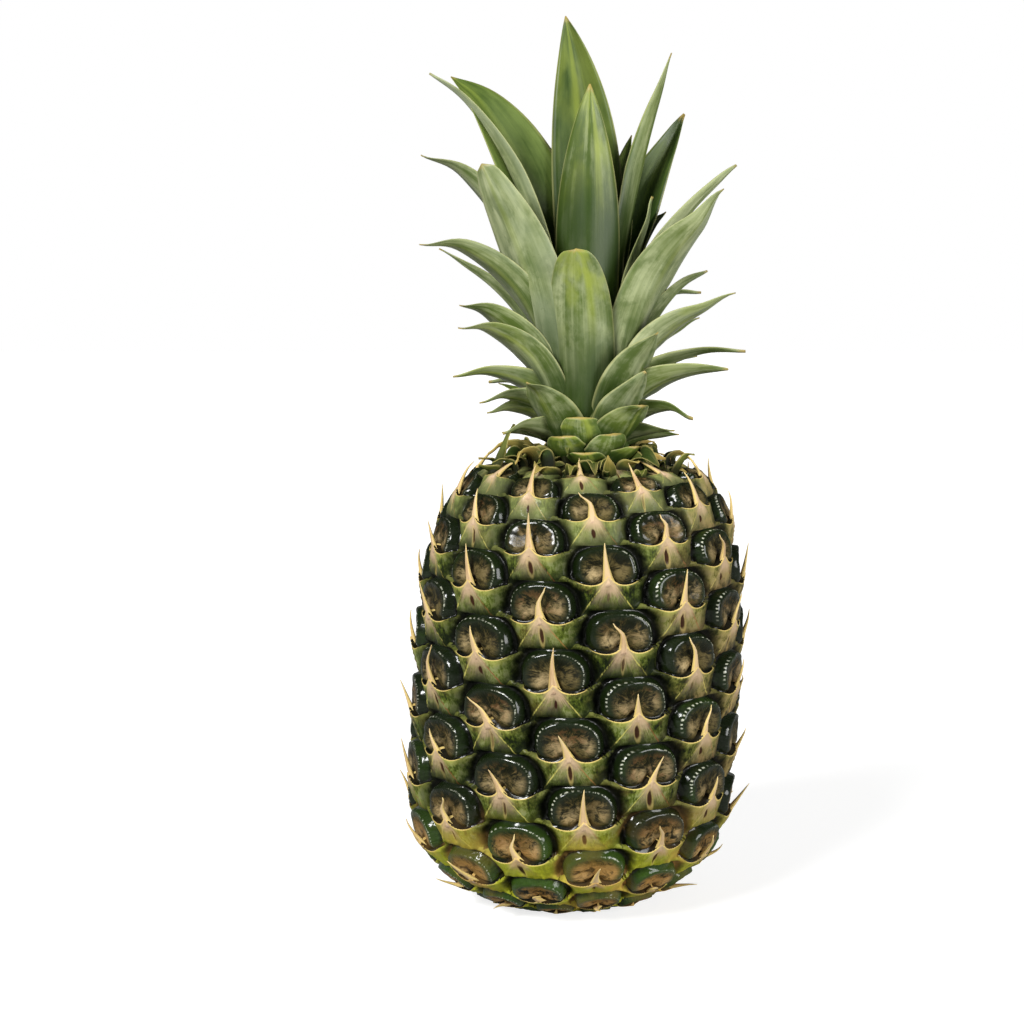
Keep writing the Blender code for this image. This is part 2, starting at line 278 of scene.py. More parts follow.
class Nodes:
    """Adds shader nodes to one node tree."""

    def __init__(self, tree: bpy.types.NodeTree) -> None:
        """Starts on a tree."""
        self.tree = tree

    def put(self, value: object, socket: bpy.types.NodeSocket) -> None:
        """Links a value to a socket, or sets a plain number or colour on it."""
        if isinstance(value, Value):
            self.tree.links.new(value.socket, socket)
        else:
            socket.default_value = value

    def add(self, kind: str, values: Inputs | None = None, **settings: object) -> bpy.types.Node:
        """Adds a node.

        Args:
            kind: The node's type, such as ShaderNodeMath.
            values: Numbers, colours or values for its inputs, by name or index.
            **settings: Properties of the node, such as its operation.

        Returns:
            The node.
        """
        node = self.tree.nodes.new(kind)
        for name, setting in settings.items():
            setattr(node, name, setting)
        for key, value in (values or {}).items():
            self.put(value, node.inputs[key])
        return node

    def value(self, kind: str, values: Inputs | None = None, output: Key = 0, **settings: object) -> Value:
        """Adds a node and gives one of its outputs."""
        return Value(self, self.add(kind, values, **settings).outputs[output])

    def math(self, operation: str, *values: Number, clamp: bool = False) -> Value:
        """The result of a Math node."""
        return self.value("ShaderNodeMath", dict(enumerate(values)), operation=operation, use_clamp=clamp)

    def coats(self, colour: object, *coats: tuple[object, object]) -> object:
        """A colour with coats of others over it.

        Args:
            colour: The colour below them.
            *coats: Pairs of a colour and how much it covers, from 0 to 1, the lowest first.

        Returns:
            The colour seen.
        """
        for paint, cover in coats:
            values = {0: cover, 6: colour, 7: paint}
            colour = self.value("ShaderNodeMix", values, 2, data_type="RGBA")
        return colour

    def vector(self, x: Number, y: Number, z: Number = 0.0) -> Value:
        """A vector of three numbers."""
        return self.value("ShaderNodeCombineXYZ", {0: x, 1: y, 2: z})

    def parts(self, vector: Value) -> list[Value]:
        """The three parts of a vector."""
        return [Value(self, part) for part in self.add("ShaderNodeSeparateXYZ", {0: vector}).outputs]

    def noise(
        self, at: Value, scale: float, detail: float = 3, rough: float = 0.55, warp: float = 0
    ) -> Value:
        """Smooth noise from about 0 to 1.

        Args:
            at: Where it is read.
            scale: Lumps in each unit of length.
            detail: Octaves of finer lumps.
            rough: Strength of the finer lumps.
            warp: How far it is distorted.

        Returns:
            The noise.
        """
        values = {"Vector": at, "Scale": scale, "Detail": detail, "Roughness": rough, "Distortion": warp}
        return self.value("ShaderNodeTexNoise", values, "Fac")

    def uv(self) -> Value:
        """The piece's own UV."""
        return self.value("ShaderNodeUVMap", uv_map="UVMap")

    def place(self) -> Value:
        """Object coordinates."""
        return self.value("ShaderNodeTexCoord", output="Object")

    def stored(self, layer: str) -> Value:
        """A value stored on the points."""
        return self.value("ShaderNodeAttribute", output="Fac", attribute_name=layer)

    def bump(self, height: Value, strength: float, depth: float) -> Value:
        """A normal from a height of 0 to 1, whose depth is in metres."""
        return self.value("ShaderNodeBump", {"Height": height, "Strength": strength, "Distance": depth})


class Effects:
    """Shader node groups that several finishes share."""

    def __init__(self) -> None:
        """Builds each group once."""
        self.fibre = self._fibre()
        self.mottle = self._mottle()
        self.fruitlet = self._fruitlet()

    @staticmethod
    def _start(name: str, vector: str, *numbers: str) -> tuple[Nodes, dict[str, Value]]:
        """Starts a group.

        Args:
            name: The group's name.
            vector: The name of its first input, a vector.
            *numbers: The names of its other inputs.

        Returns:
            The group's nodes, and its inputs by name.
        """
        group = bpy.data.node_groups.new(name, "ShaderNodeTree")
        group.interface.new_socket(name=vector, in_out="INPUT", socket_type="NodeSocketVector")
        for number in numbers:
            group.interface.new_socket(name=number, in_out="INPUT", socket_type="NodeSocketFloat")
        nodes = Nodes(group)
        given = nodes.add("NodeGroupInput").outputs
        return nodes, {name: Value(nodes, given[name]) for name in (vector, *numbers)}

    @staticmethod
    def _end(nodes: Nodes, values: dict[str, Value]) -> bpy.types.NodeTree:
        """Gives a group its outputs, by name."""
        for name in values:
            nodes.tree.interface.new_socket(name=name, in_out="OUTPUT", socket_type="NodeSocketFloat")
        nodes.add("NodeGroupOutput", values)
        return nodes.tree

    def _fibre(self) -> bpy.types.NodeTree:
        """Fine lines along V, as in leaves and dried bracts."""
        nodes, given = self._start("Lengthwise fibres", "UV", "Lines", "Waver")
        across, along, _ = nodes.parts(given["UV"])
        waver = nodes.noise(nodes.vector(across, along), 3.0) * given["Waver"]
        lined = (across + waver) * given["Lines"]
        return self._end(nodes, {"Fibre": nodes.noise(nodes.vector(lined, along * 1.5), 1.0, 4, 0.7)})

    def _mottle(self) -> bpy.types.NodeTree:
        """Soft patches and small dark specks over a surface."""
        nodes, given = self._start("Mottle", "Place", "Patch", "Speck")
        patch_place, speck_place = (
            nodes.value("ShaderNodeVectorMath", {0: given["Place"], "Scale": given[scale]}, operation="SCALE")
            for scale in ("Patch", "Speck")
        )
        patches = nodes.noise(patch_place, 1.0, 4, 0.6, 0.4).ramp(0.38, 0.64)
        specks = nodes.noise(speck_place, 1.0, 2, 0.5).ramp(0.62, 0.72)
        return self._end(nodes, {"Patches": patches, "Specks": specks})

    def _fruitlet(self) -> bpy.types.NodeTree:
        """One fruitlet near a point of the rind: its eye, and the bract over the point."""
        nodes, given = self._start("Fruitlet", "UV", "Side")
        shape = Fruitlet()
        form = shape.form
        round_it, up_it, _ = nodes.parts(given["UV"])
        own = round(round_it) + given["Side"]
        raised = up_it + own * form.drop_share + form.lip_share
        level = math.floor(raised)
        up = (raised - level - form.lip_share) * shape.cell_height
        across = (round_it - own) * shape.cell_width - up * shape.slant
        wide = (abs(across) / shape.lip_half).least(shape.most_wide)
        sag = ((wide * shape.sag_rate).least(1.0) * math.pi).sine() * shape.lip_sag
        narrow = (abs(across) / shape.peak_half) ** shape.peak_power
        peak = (narrow * -1.0).exponential() * shape.lip_peak
        over = up - (wide**4.0 * shape.lip_corner - sag + peak)
        above = over > 0.0
        rise = up - shape.eye_up
        reach = (rise > 0.0) * (shape.eye_above - shape.eye_below) + shape.eye_below
        power = shape.eye_power
        ring = ((abs(across) / shape.eye_half) ** power + (abs(rise) / reach) ** power) ** (1 / power)
        bract_up = up - above * shape.cell_height
        bract_across = across + above * (shape.slant * shape.cell_height)
        column = own.remainder(float(form.columns)) * shape.chance_column
        lip_place = level - own * form.drop_share
        places = (lip_place, lip_place + above)
        waves = (column + place * shape.chance_place + shape.chance_start for place in places)
        chance, bract_chance = ((wave.sine() * shape.chance_size).fraction() for wave in waves)
        values = {
            "Across": across,
            "Up": up,
            "Over": over,
            "Ring": (ring - shape.no_ring) * above + shape.no_ring,
            "Chance": chance,
            "Bract across": bract_across,
            "Bract up": bract_up,
            "Bract over": (bract_up - over) * above + over,
            "Reach": abs(bract_across) + abs(bract_up) * shape.reach_weight,
            "Bract chance": bract_chance,
        }
        return self._end(nodes, values)

    def nearest_fruitlet(self, nodes: Nodes) -> dict[str, Value]:
        """The eye and the bract at each point, picked from the three nearest columns.

        Args:
            nodes: The material's nodes.

        Returns:
            The values by name.
        """
        eye_names = ("Ring", "Across", "Up", "Over", "Chance")
        bract_names = ("Reach", "Bract across", "Bract up", "Bract over", "Bract chance")
        best = self.use(nodes, self.fruitlet, UV=nodes.uv(), Side=0.0)
        for side in (-1.0, 1.0):
            seen = self.use(nodes, self.fruitlet, UV=nodes.uv(), Side=side)
            for names in (eye_names, bract_names):
                nearer = seen[names[0]] < best[names[0]]
                for name in names:
                    best[name] = best[name] + (seen[name] - best[name]) * nearer
        return best

    @staticmethod
    def use(nodes: Nodes, group: bpy.types.NodeTree, **values: object) -> dict[str, Value]:
        """Places a group in a material.

        Args:
            nodes: The material's nodes.
            group: The group.
            **values: Its inputs.

        Returns:
            The group's outputs by name.
        """
        placed = nodes.add("ShaderNodeGroup", values, node_tree=group)
        return {output.name: Value(nodes, output) for output in placed.outputs}


@dataclass(frozen=True)
class FruitForm:
    """The plain fruit and the lattice of its cells, as the solid has them."""

    widest_radius: float = 56.6 * MM
    widest_height: float = 48 * MM
    profile_bottom: float = -2 * MM
    profile_top: float = 164 * MM
    bottom_power: float = 2.68
    top_power: float = 5.15
    rounding: float = 1 / 2.2
    foot_radius: float = 19.8 * MM
    shoulder_height: float = 151.5 * MM
    seat_radius: float = 17 * MM
    seat_height: float = 156.5 * MM
    lean: float = 0.05
    columns: int = 14
    drop_share: float = 3 / 7
    cell_height: float = 22.84 * MM
    drift: float = math.radians(6.04)
    first_angle: float = math.radians(8.4)
    first_lip: float = 72.9 * MM
    lip_share: float = 11.5 / 28
    samples: int = 900
    slope_window: int = 25

    @property
    def cell_width(self) -> float:
        """Width of a column where the fruit is widest."""
        return TAU * self.widest_radius / self.columns

    def radius_at(self, height: Field) -> Field:
        """Radius of the plain fruit at heights below the shoulder."""
        above = (height - self.widest_height) / (self.profile_top - self.widest_height)
        below = (self.widest_height - height) / (self.widest_height - self.profile_bottom)
        upper = np.abs(above) ** self.top_power
        lower = np.abs(below) ** self.bottom_power
        filled = np.where(height > self.widest_height, upper, lower)
        return self.widest_radius * (1 - filled) ** self.rounding

    def outline(self) -> tuple[Field, Field, Field, Field]:
        """Girdles, radii, heights and slopes up the fruit, from the foot to the seat."""
        flank = np.linspace(0, self.shoulder_height, self.samples)
        cap = np.linspace(0, 1, self.samples // 4)[1:]
        heights = np.append(flank, self.shoulder_height + (self.seat_height - self.shoulder_height) * cap)
        radii = self.radius_at(flank)
        radii = np.append(radii, radii[-1] + (self.seat_radius - radii[-1]) * cap)
        lengths = np.hypot(np.diff(heights), np.diff(radii))
        girdles = np.append(0, np.cumsum(lengths * self.widest_radius * 2 / (radii[1:] + radii[:-1])))
        girdles -= np.interp(self.widest_height, heights, girdles)
        slopes = np.arctan2(-np.diff(radii), np.diff(heights))
        slopes = np.pad(np.append(slopes, slopes[-1]), self.slope_window // 2, mode="edge")
        slopes = np.convolve(slopes, np.ones(self.slope_window) / self.slope_window, "valid")
        return girdles, radii, heights, slopes

    def leaning(self, points: Field) -> Field:
        """The points moved aside as the fruit leans."""
        moved = np.array(points, dtype=float)
        moved[..., 0] += self.lean * moved[..., 2]
        return moved

    def surface(self, column: Field, cell: Field, raised: Field | float = 0.0) -> Field:
        """Points over the plain surface.

        Args:
            column: Place round the fruit, in columns from the first.
            cell: Place up the fruit, in cells from the first lip.
            raised: Height over the surface.

        Returns:
            The points, with the fruit's lean.
        """
        girdles, radii, heights, slopes = self.outline()
        girdle = self.first_lip + cell * self.cell_height
        radius, height, slope = (np.interp(girdle, girdles, line) for line in (radii, heights, slopes))
        angle = self.first_angle + TAU * column / self.columns - self.drift * cell
        return self.leaning(around(angle, radius + raised * np.cos(slope), height + raised * np.sin(slope)))

    def radius_on(self, cell: Field) -> Field:
        """Radius of the plain fruit at a place up it, in cells from the first lip."""
        girdles, radii, _, _ = self.outline()
        return np.interp(self.first_lip + cell * self.cell_height, girdles, radii)

    def cells(self) -> list[tuple[int, float]]:
        """Column and place of each cell's lip, from the foot to the seat."""
        girdles = self.outline()[0]
        low, high = ((end - self.first_lip) / self.cell_height for end in (girdles[0], girdles[-1]))
        found = []
        for column in range(self.columns):
            place = math.ceil(low + column * self.drop_share) - column * self.drop_share
            while place < high:
                found.append((column, place))
                place += 1
        return found


@dataclass(frozen=True)
class Nearby:
    """One fruitlet seen from points of the rind, in millimetres from the middle of its lip."""

    across: Field
    up: Field
    over_lip: Field
    ring: Field
    lip_place: Field
    column: Field


@dataclass(frozen=True)
class Fruitlet:
    """Outline of a fruitlet's eye and lip, in millimetres from the middle of the lip."""

    form: FruitForm = FruitForm()
    slant: float = 0.16
    lip_sag: float = 1.0
    lip_corner: float = 1.3
    lip_peak: float = 2.6
    peak_half: float = 1.9
    peak_power: float = 1.25
    lip_half: float = 12.85
    sag_rate: float = 1.12
    most_wide: float = 1.15
    eye_up: float = 4.8
    eye_half: float = 12.3
    eye_above: float = 8.9
    eye_below: float = 9.0
    eye_power: float = 2.4
    reach_weight: float = 0.9
    no_ring: float = 9.0
    ridge_near: float = 1.3
    ridge_spread: float = 7.2
    ridge_length: float = 9.4
    chance_size: float = 17.31
    chance_column: float = 1.93
    chance_place: float = 4.71
    chance_start: float = 0.7
    chance_again: float = 7.13

    @property
    def cell_width(self) -> float:
        """Width of a column."""
        return self.form.cell_width / MM

    @property
    def cell_height(self) -> float:
        """Height of a cell."""
        return self.form.cell_height / MM

    def lip_line(self, across: Field) -> Field:
        """Height of the lip's edge over its middle."""
        wide = np.minimum(np.abs(across) / self.lip_half, self.most_wide)
        peak = self.lip_peak * np.exp(-((np.abs(across) / self.peak_half) ** self.peak_power))
        sag = self.lip_sag * np.sin(math.pi * np.minimum(wide * self.sag_rate, 1))
        return self.lip_corner * wide**4 - sag + peak

    def ring(self, across: Field, up: Field) -> Field:
        """Distance from the middle of the eye, 1 on its outline."""
        rise = up - self.eye_up
        tall = np.abs(rise) / np.where(rise > 0, self.eye_above, self.eye_below)
        power = self.eye_power
        return ((np.abs(across) / self.eye_half) ** power + tall**power) ** (1 / power)

    def near(self, column: Field, cell: Field, side: int) -> Nearby:
        """The fruitlet of the nearest column, or of the column beside it.

        Args:
            column: Place round the fruit, in columns.
            cell: Place up the fruit, in cells.
            side: 0 for the nearest column, -1 or 1 for its neighbours.

        Returns:
            The fruitlet whose cell holds each point.
        """
        form = self.form
        own = np.round(column) + side
        raised = cell + own * form.drop_share + form.lip_share
        level = np.floor(raised)
        up = (raised - level - form.lip_share) * self.cell_height
        across = (column - own) * self.cell_width - self.slant * up
        over = up - self.lip_line(across)
        ring = np.where(over > 0, self.ring(across, up), self.no_ring)
        return Nearby(across, up, over, ring, level - own * form.drop_share, own)

    def bract(self, seen: Nearby) -> Nearby:
        """The bract over a point: the fruitlet's own below its lip, the next one's above it."""
        above = (seen.over_lip > 0).astype(float)
        up = seen.up - above * self.cell_height
        across = seen.across + self.slant * self.cell_height * above
        over = np.where(above > 0, up, seen.over_lip)
        reach = np.abs(across) + self.reach_weight * np.abs(up)
        return Nearby(across, up, over, reach, seen.lip_place + above, seen.column)

    def chance(self, seen: Nearby) -> Field:
        """A number from 0 to 1 that stays the same over one fruitlet."""
        column = self.chance_column * np.mod(seen.column, self.form.columns)
        wave = self.chance_size * np.sin(column + self.chance_place * seen.lip_place + self.chance_start)
        return wave - np.floor(wave)

    def other_chance(self, chance: Value) -> Value:
        """A second number of the fruitlet's own, made from its first."""
        return (chance * self.chance_again).fraction()

    def picked(self, first: Nearby, *others: Nearby) -> Nearby:
        """Of several, the one with the least ring at each point."""
        names = [item.name for item in fields(Nearby)]
        for other in others:
            nearer = other.ring < first.ring
            first = Nearby(*[np.where(nearer, getattr(other, name), getattr(first, name)) for name in names])
        return first


@dataclass(frozen=True)
class Relief:
    """Heights of the skin in millimetres: domed eyes, and bracts that rise to their lips."""

    shape: Fruitlet = Fruitlet()
    rim: float = 1.4
    groove: float = -2.6
    dish: float = 0.8
    under_lip: float = 1.6
    lip: float = 2.3
    corner_drop: float = 1.9
    foot: float = -1.1
    foot_reach: float = 12.0
    keel: float = 0.5
    ridge: float = 0.45
    slit: float = 0.7
    beside_eye: float = 1.5
    beside_corner: float = 1.3
    wrinkle: float = 0.08
    wrinkles: float = 11
    rim_fade: tuple[float, float] = (0.80, 1.02)
    dish_fade: tuple[float, float] = (0.2, 0.78)
    dish_spread: float = 0.5
    lip_fade: tuple[float, float] = (0.0, 2.6)
    thorn_fade: tuple[float, float] = (6.5, 11.5)
    dent: float = 0.5
    dent_half: tuple[float, float] = (2.2, 2.0)
    dent_up: float = 8.5
    dent_shifts: tuple[float, float] = (4, 2)
    wrinkle_turn: float = 20
    wrinkle_fade: tuple[float, float] = (0.25, 0.6)
    wave: float = 0.22
    wave_across: tuple[float, float] = (1.3, 9)
    wave_up: tuple[float, float] = (0.7, 5)
    keel_fade: tuple[float, float] = (-4.0, -0.5)
    ridge_fade: tuple[float, float] = (-0.3, -2.0)
    rise_power: float = 1.5
    corner_power: float = 1.6
    keel_half: float = 1.7
    ridge_half: float = 0.6
    slit_half: float = 0.8
    slit_ends: tuple[float, float, float, float] = (-8.2, -6.8, -3.4, -2.2)
    spread: tuple[float, float] = (0.5, 0.4)
    corner_fade: tuple[float, float] = (7.0, 12.0)
    beside_fade: tuple[float, float] = (1.0, 1.28)
    most_share: float = 1.3

    def heights(self, column: Field, cell: Field) -> Field:
        """Heights of the skin over the plain fruit.

        Args:
            column: Place round the fruit, in columns.
            cell: Place up the fruit, in cells.

        Returns:
            The heights where the fruit is widest.
        """
        around_it = [self.shape.near(column, cell, side) for side in (0, -1, 1)]
        eye = self.shape.picked(*around_it)
        bract = self.shape.picked(*(self.shape.bract(seen) for seen in around_it))
        corner = smooth(*self.corner_fade, np.abs(eye.across))
        beside = (self.beside_eye + self.beside_corner * corner) * (1 - smooth(*self.beside_fade, eye.ring))
        return np.where(eye.ring < 1, self._eye(eye), self._bract(bract) - beside)

    def _eye(self, eye: Nearby) -> Field:
        """Height of an eye: a rim round a dish that dips under the lip."""
        chance = self.shape.chance(eye)
        turn = np.arctan2(eye.up - self.shape.eye_up, eye.across)
        height = self.groove + (self.rim - self.groove) * (1 - smooth(*self.rim_fade, eye.ring))
        height -= (self.dish + self.dish_spread * chance) * (1 - smooth(*self.dish_fade, eye.ring))
        under_thorn = 1 - smooth(*self.thorn_fade, np.abs(eye.across))
        height -= self.under_lip * (1 - smooth(*self.lip_fade, eye.over_lip)) * under_thorn
        dent = bell(eye.across - self.dent_shifts[0] * (chance - 0.5), self.dent_half[0])
        dent *= bell(eye.up - self.dent_up - self.dent_shifts[1] * chance, self.dent_half[1])
        height -= self.dent * dent
        wrinkle = self.wrinkle * np.sin(turn * self.wrinkles + self.wrinkle_turn * chance)
        height += wrinkle * smooth(*self.wrinkle_fade, eye.ring)
        return height + (chance - 0.5) * self.spread[0]

    def _bract(self, bract: Nearby) -> Field:
        """Height of a bract: rising to its lip, with a keel that parts into two ridges round a slit."""
        chance = self.shape.chance(bract)
        share = np.clip(-bract.over_lip / self.foot_reach, 0, 1)
        wide = np.minimum(np.abs(bract.across) / self.shape.lip_half, self.most_share)
        height = self.foot + (self.lip - self.foot) * (1 - share) ** self.rise_power
        height -= self.corner_drop * wide**self.corner_power * (1 - share)
        height += self.keel * bell(bract.across, self.keel_half) * smooth(*self.keel_fade, bract.up)
        down = np.clip(-bract.up / self.shape.ridge_length, 0, self.most_share)
        ridge_far = self.shape.ridge_near + self.shape.ridge_spread * down
        ridge = self.ridge * bell(np.abs(bract.across) - ridge_far, self.ridge_half)
        height += ridge * smooth(*self.ridge_fade, bract.up)
        slit = smooth(*self.slit_ends[:2], bract.up) * (1 - smooth(*self.slit_ends[2:], bract.up))
        height -= self.slit * bell(bract.across, self.slit_half) * slit
        rate, turn = self.wave_across
        wave = self.wave * np.sin(bract.across * (rate + chance) + turn * chance)
        rate, turn = self.wave_up
        height += wave * np.sin(bract.up * rate + turn * chance) * share
        return height + (chance - 0.5) * self.spread[1]


@dataclass(frozen=True)
class Rind:
    """The fruit's skin, one grown piece with its eyes and bracts."""

    form: FruitForm = FruitForm()
    relief: Relief = Relief()
    steps_per_column: int = 24
    rings_per_cell: int = 28
    plain_radii: tuple[float, float] = (22 * MM, 20 * MM)
    fade: tuple[float, float] = (20 * MM, 30 * MM)
    socket_radius: float = 13.8 * MM
    socket_depth: float = 5.3 * MM
    lip_pull: float = 6.0
    lip_gap: tuple[float, float] = (-0.04, 0.22)
    seam_fade: tuple[float, float] = (0.40, 0.49)

    def build(self) -> bpy.types.Object:
        """Makes the skin."""
        form = self.form
        girdles, radii, _, _ = form.outline()
        low, high = self._ends(girdles, radii)
        bottom = math.ceil((low - form.first_lip) / form.cell_height * self.rings_per_cell)
        top = math.floor((high - form.first_lip) / form.cell_height * self.rings_per_cell)
        lead = ((self.socket_radius, self.socket_depth), (self.socket_radius, 0.0), (form.foot_radius, 0.0))
        rings = len(lead) + top - bottom + 2

        def grid(step: Field, ring: Field) -> tuple[Field, Field]:
            """Column and cell of a point."""
            column = step / self.steps_per_column - 0.5
            cell = (ring - len(lead) + bottom) / self.rings_per_cell
            return column, cell + self._to_lip(column, cell)

        def place(step: Field, ring: Field) -> Field:
            """A point of the skin, the socket and the seat."""
            column, cell = grid(step, ring)
            radius = form.radius_on(cell)
            size = radius / form.widest_radius * smooth(*self.fade, radius)
            points = form.surface(column, cell, self.relief.heights(column, cell) * MM * size)
            plain_angle = form.first_angle + TAU * column / form.columns
            for index, (lead_radius, height) in enumerate(lead):
                points[ring == index] = form.leaning(around(plain_angle, lead_radius, height))[ring == index]
            last = form.leaning(around(plain_angle, form.seat_radius, form.seat_height))
            points[ring == rings - 1] = last[ring == rings - 1]
            return points

        return SheetMesh("rind", form.columns * self.steps_per_column, rings).build(place, grid)

    def _to_lip(self, column: Field, cell: Field) -> Field:
        """How far a point moves up the fruit so that the rings follow the lips, in cells."""
        form, shape = self.form, self.relief.shape
        own = np.round(column)
        phase = cell + own * form.drop_share
        step = (phase - np.round(phase)) * self.rings_per_cell
        across = (column - own) * shape.cell_width
        edge = shape.lip_line(across)
        edge = shape.lip_line(across - shape.slant * edge)
        under = edge + self.lip_gap[0] + shape.cell_height / self.rings_per_cell
        over = edge + self.lip_gap[1]
        pull_under = 1 - smooth(0, self.lip_pull, -1 - step)
        pull_over = 1 - smooth(0, self.lip_pull, step)
        moved = np.where(step > -0.5, over * pull_over, under * pull_under)
        inside = 1 - smooth(*self.seam_fade, np.abs(column - own))
        return moved * inside / shape.cell_height

    def _ends(self, girdles: Field, radii: Field) -> tuple[float, float]:
        """Girdles between which the skin has its relief."""
        lower = girdles < 0
        low = float(np.interp(self.plain_radii[0], radii[lower], girdles[lower]))
        upper_radii, upper_girdles = radii[~lower][::-1], girdles[~lower][::-1]
        return low, float(np.interp(self.plain_radii[1], upper_radii, upper_girdles))


@dataclass(frozen=True)
class Thorns:
    """The thorn on each lip, drawn out of its bract."""

    form: FruitForm = FruitForm()
    length: float = 13.4 * MM
    root_width: float = 5.5 * MM
    lift: float = 3.4 * MM
    root_height: float = 1.7 * MM
    root_below: float = 1.2 * MM
    least_radii: tuple[float, float] = (34 * MM, 34 * MM)
    lengths: tuple[float, float] = (0.66, 1.12)
    lifts: tuple[float, float] = (0.6, 1.2)
    sways: tuple[float, float] = (0.9, 1.6)
    hooks: tuple[float, float] = (2.0, 4.2)
    curls: tuple[float, float] = (-1.0, 2.2)
    sides: int = 6
    rings: int = 10
    step_up: float = 0.05
    hooked: float = 0.35
    crowding: float = 1.15
    taper: tuple[float, float, float] = (0.34, 0.60, 0.04)
    taper_powers: tuple[float, float] = (5, 0.95)
    lift_power: float = 1.2
    curl_power: float = 4
    sway_power: float = 1.8
    hook_from: float = 0.5
    hook_power: float = 1.4
    flatness: float = 0.55
    thickness: tuple[float, float] = (0.06 * MM, 0.8 * MM)
    rooted: float = 1.0 * MM
    seed: int = 11

    def build(self) -> bpy.types.Object:
        """Makes every thorn and joins them."""
        chance = random.Random(self.seed)
        made = []
        for column, cell in self.form.cells():
            radius = float(self.form.radius_on(cell))
            if radius > self.least_radii[cell > 0]:
                made.append(self._thorn(column, cell, radius / self.form.widest_radius, chance))
        return joined(made, "thorns")

    def _thorn(self, column: int, cell: float, size: float, chance: random.Random) -> bpy.types.Object:
        """Makes one thorn.

        Args:
            column: Its column.
            cell: Its place up the fruit, in cells.
            size: Size of its cell against the largest.
            chance: Source of its variation.

        Returns:
            The thorn.
        """
        form = self.form
        scale = math.sqrt(size)
        length = self.length * scale * chance.uniform(*self.lengths)
        sway = chance.gauss(*self.sways) * MM
        hook = chance.choice((-1, 1, 1)) * chance.uniform(*self.hooks) * MM * (chance.random() < self.hooked)
        curl = chance.uniform(*self.curls) * MM
        lift = self.lift * scale * chance.uniform(*self.lifts)
        tone = chance.random()
        raised = self.root_height * size
        cells = np.array([cell, cell + self.step_up, cell])
        root, above, outer = form.surface(np.full(3, column), cells, np.array([raised, raised, raised + MM]))
        up = (above - root) / np.linalg.norm(above - root)
        out = (outer - root) / np.linalg.norm(outer - root)
        side = np.cross(up, out)

        def place(step: Field, ring: Field) -> Field:
            """A point of the thorn."""
            share = (ring / (self.rings - 1)) ** self.crowding
            turn = TAU * step / self.sides
            spent = 1 - share
            flare, slim, least = self.taper
            sharp, even = self.taper_powers
            width = self.root_width * scale / 2 * (flare * spent**sharp + slim * spent**even + least)
            thick = np.minimum(width * self.flatness, self.thickness[1]) + self.thickness[0]
            along = share * (length + self.root_below) - self.root_below
            rise = lift * share**self.lift_power - curl * share**self.curl_power - self.rooted * spent**2
            middle = root + np.multiply.outer(along, up) + np.multiply.outer(rise, out)
            bent = smooth(self.hook_from, 1.0, share) ** self.hook_power
            middle += np.multiply.outer(sway * share**self.sway_power + hook * bent, side)
            middle += np.multiply.outer(np.cos(turn) * width, side)
            return middle + np.multiply.outer(np.sin(turn) * thick, out)

        layers = {"tone": lambda step, ring: tone + 0 * step}
        return SheetMesh("thorn", self.sides, self.rings).build(place, layers=layers)


class Hem(Enum):
    """How a blade ends."""

    POINTED = 0.85
    BLUNT = 0.4
    SQUARE = 0.22


@dataclass(frozen=True)
class Blade:
    """One leaf, in degrees from the front and in millimetres above the seat. Dryness below 0 adds bloom; on a
    crown leaf more dryness also spreads the painted shade up from its foot.
    """

    azimuth: float
    root: float
    reach: float
    tip: float
    width: float
    arch: float
    roll: float = 30.0
    sway: float = 0.0
    hem: Hem = Hem.POINTED
    curl: float = 0.0
    tone: float = 0.5
    dry: float = 0.3
    rooted: float | None = None


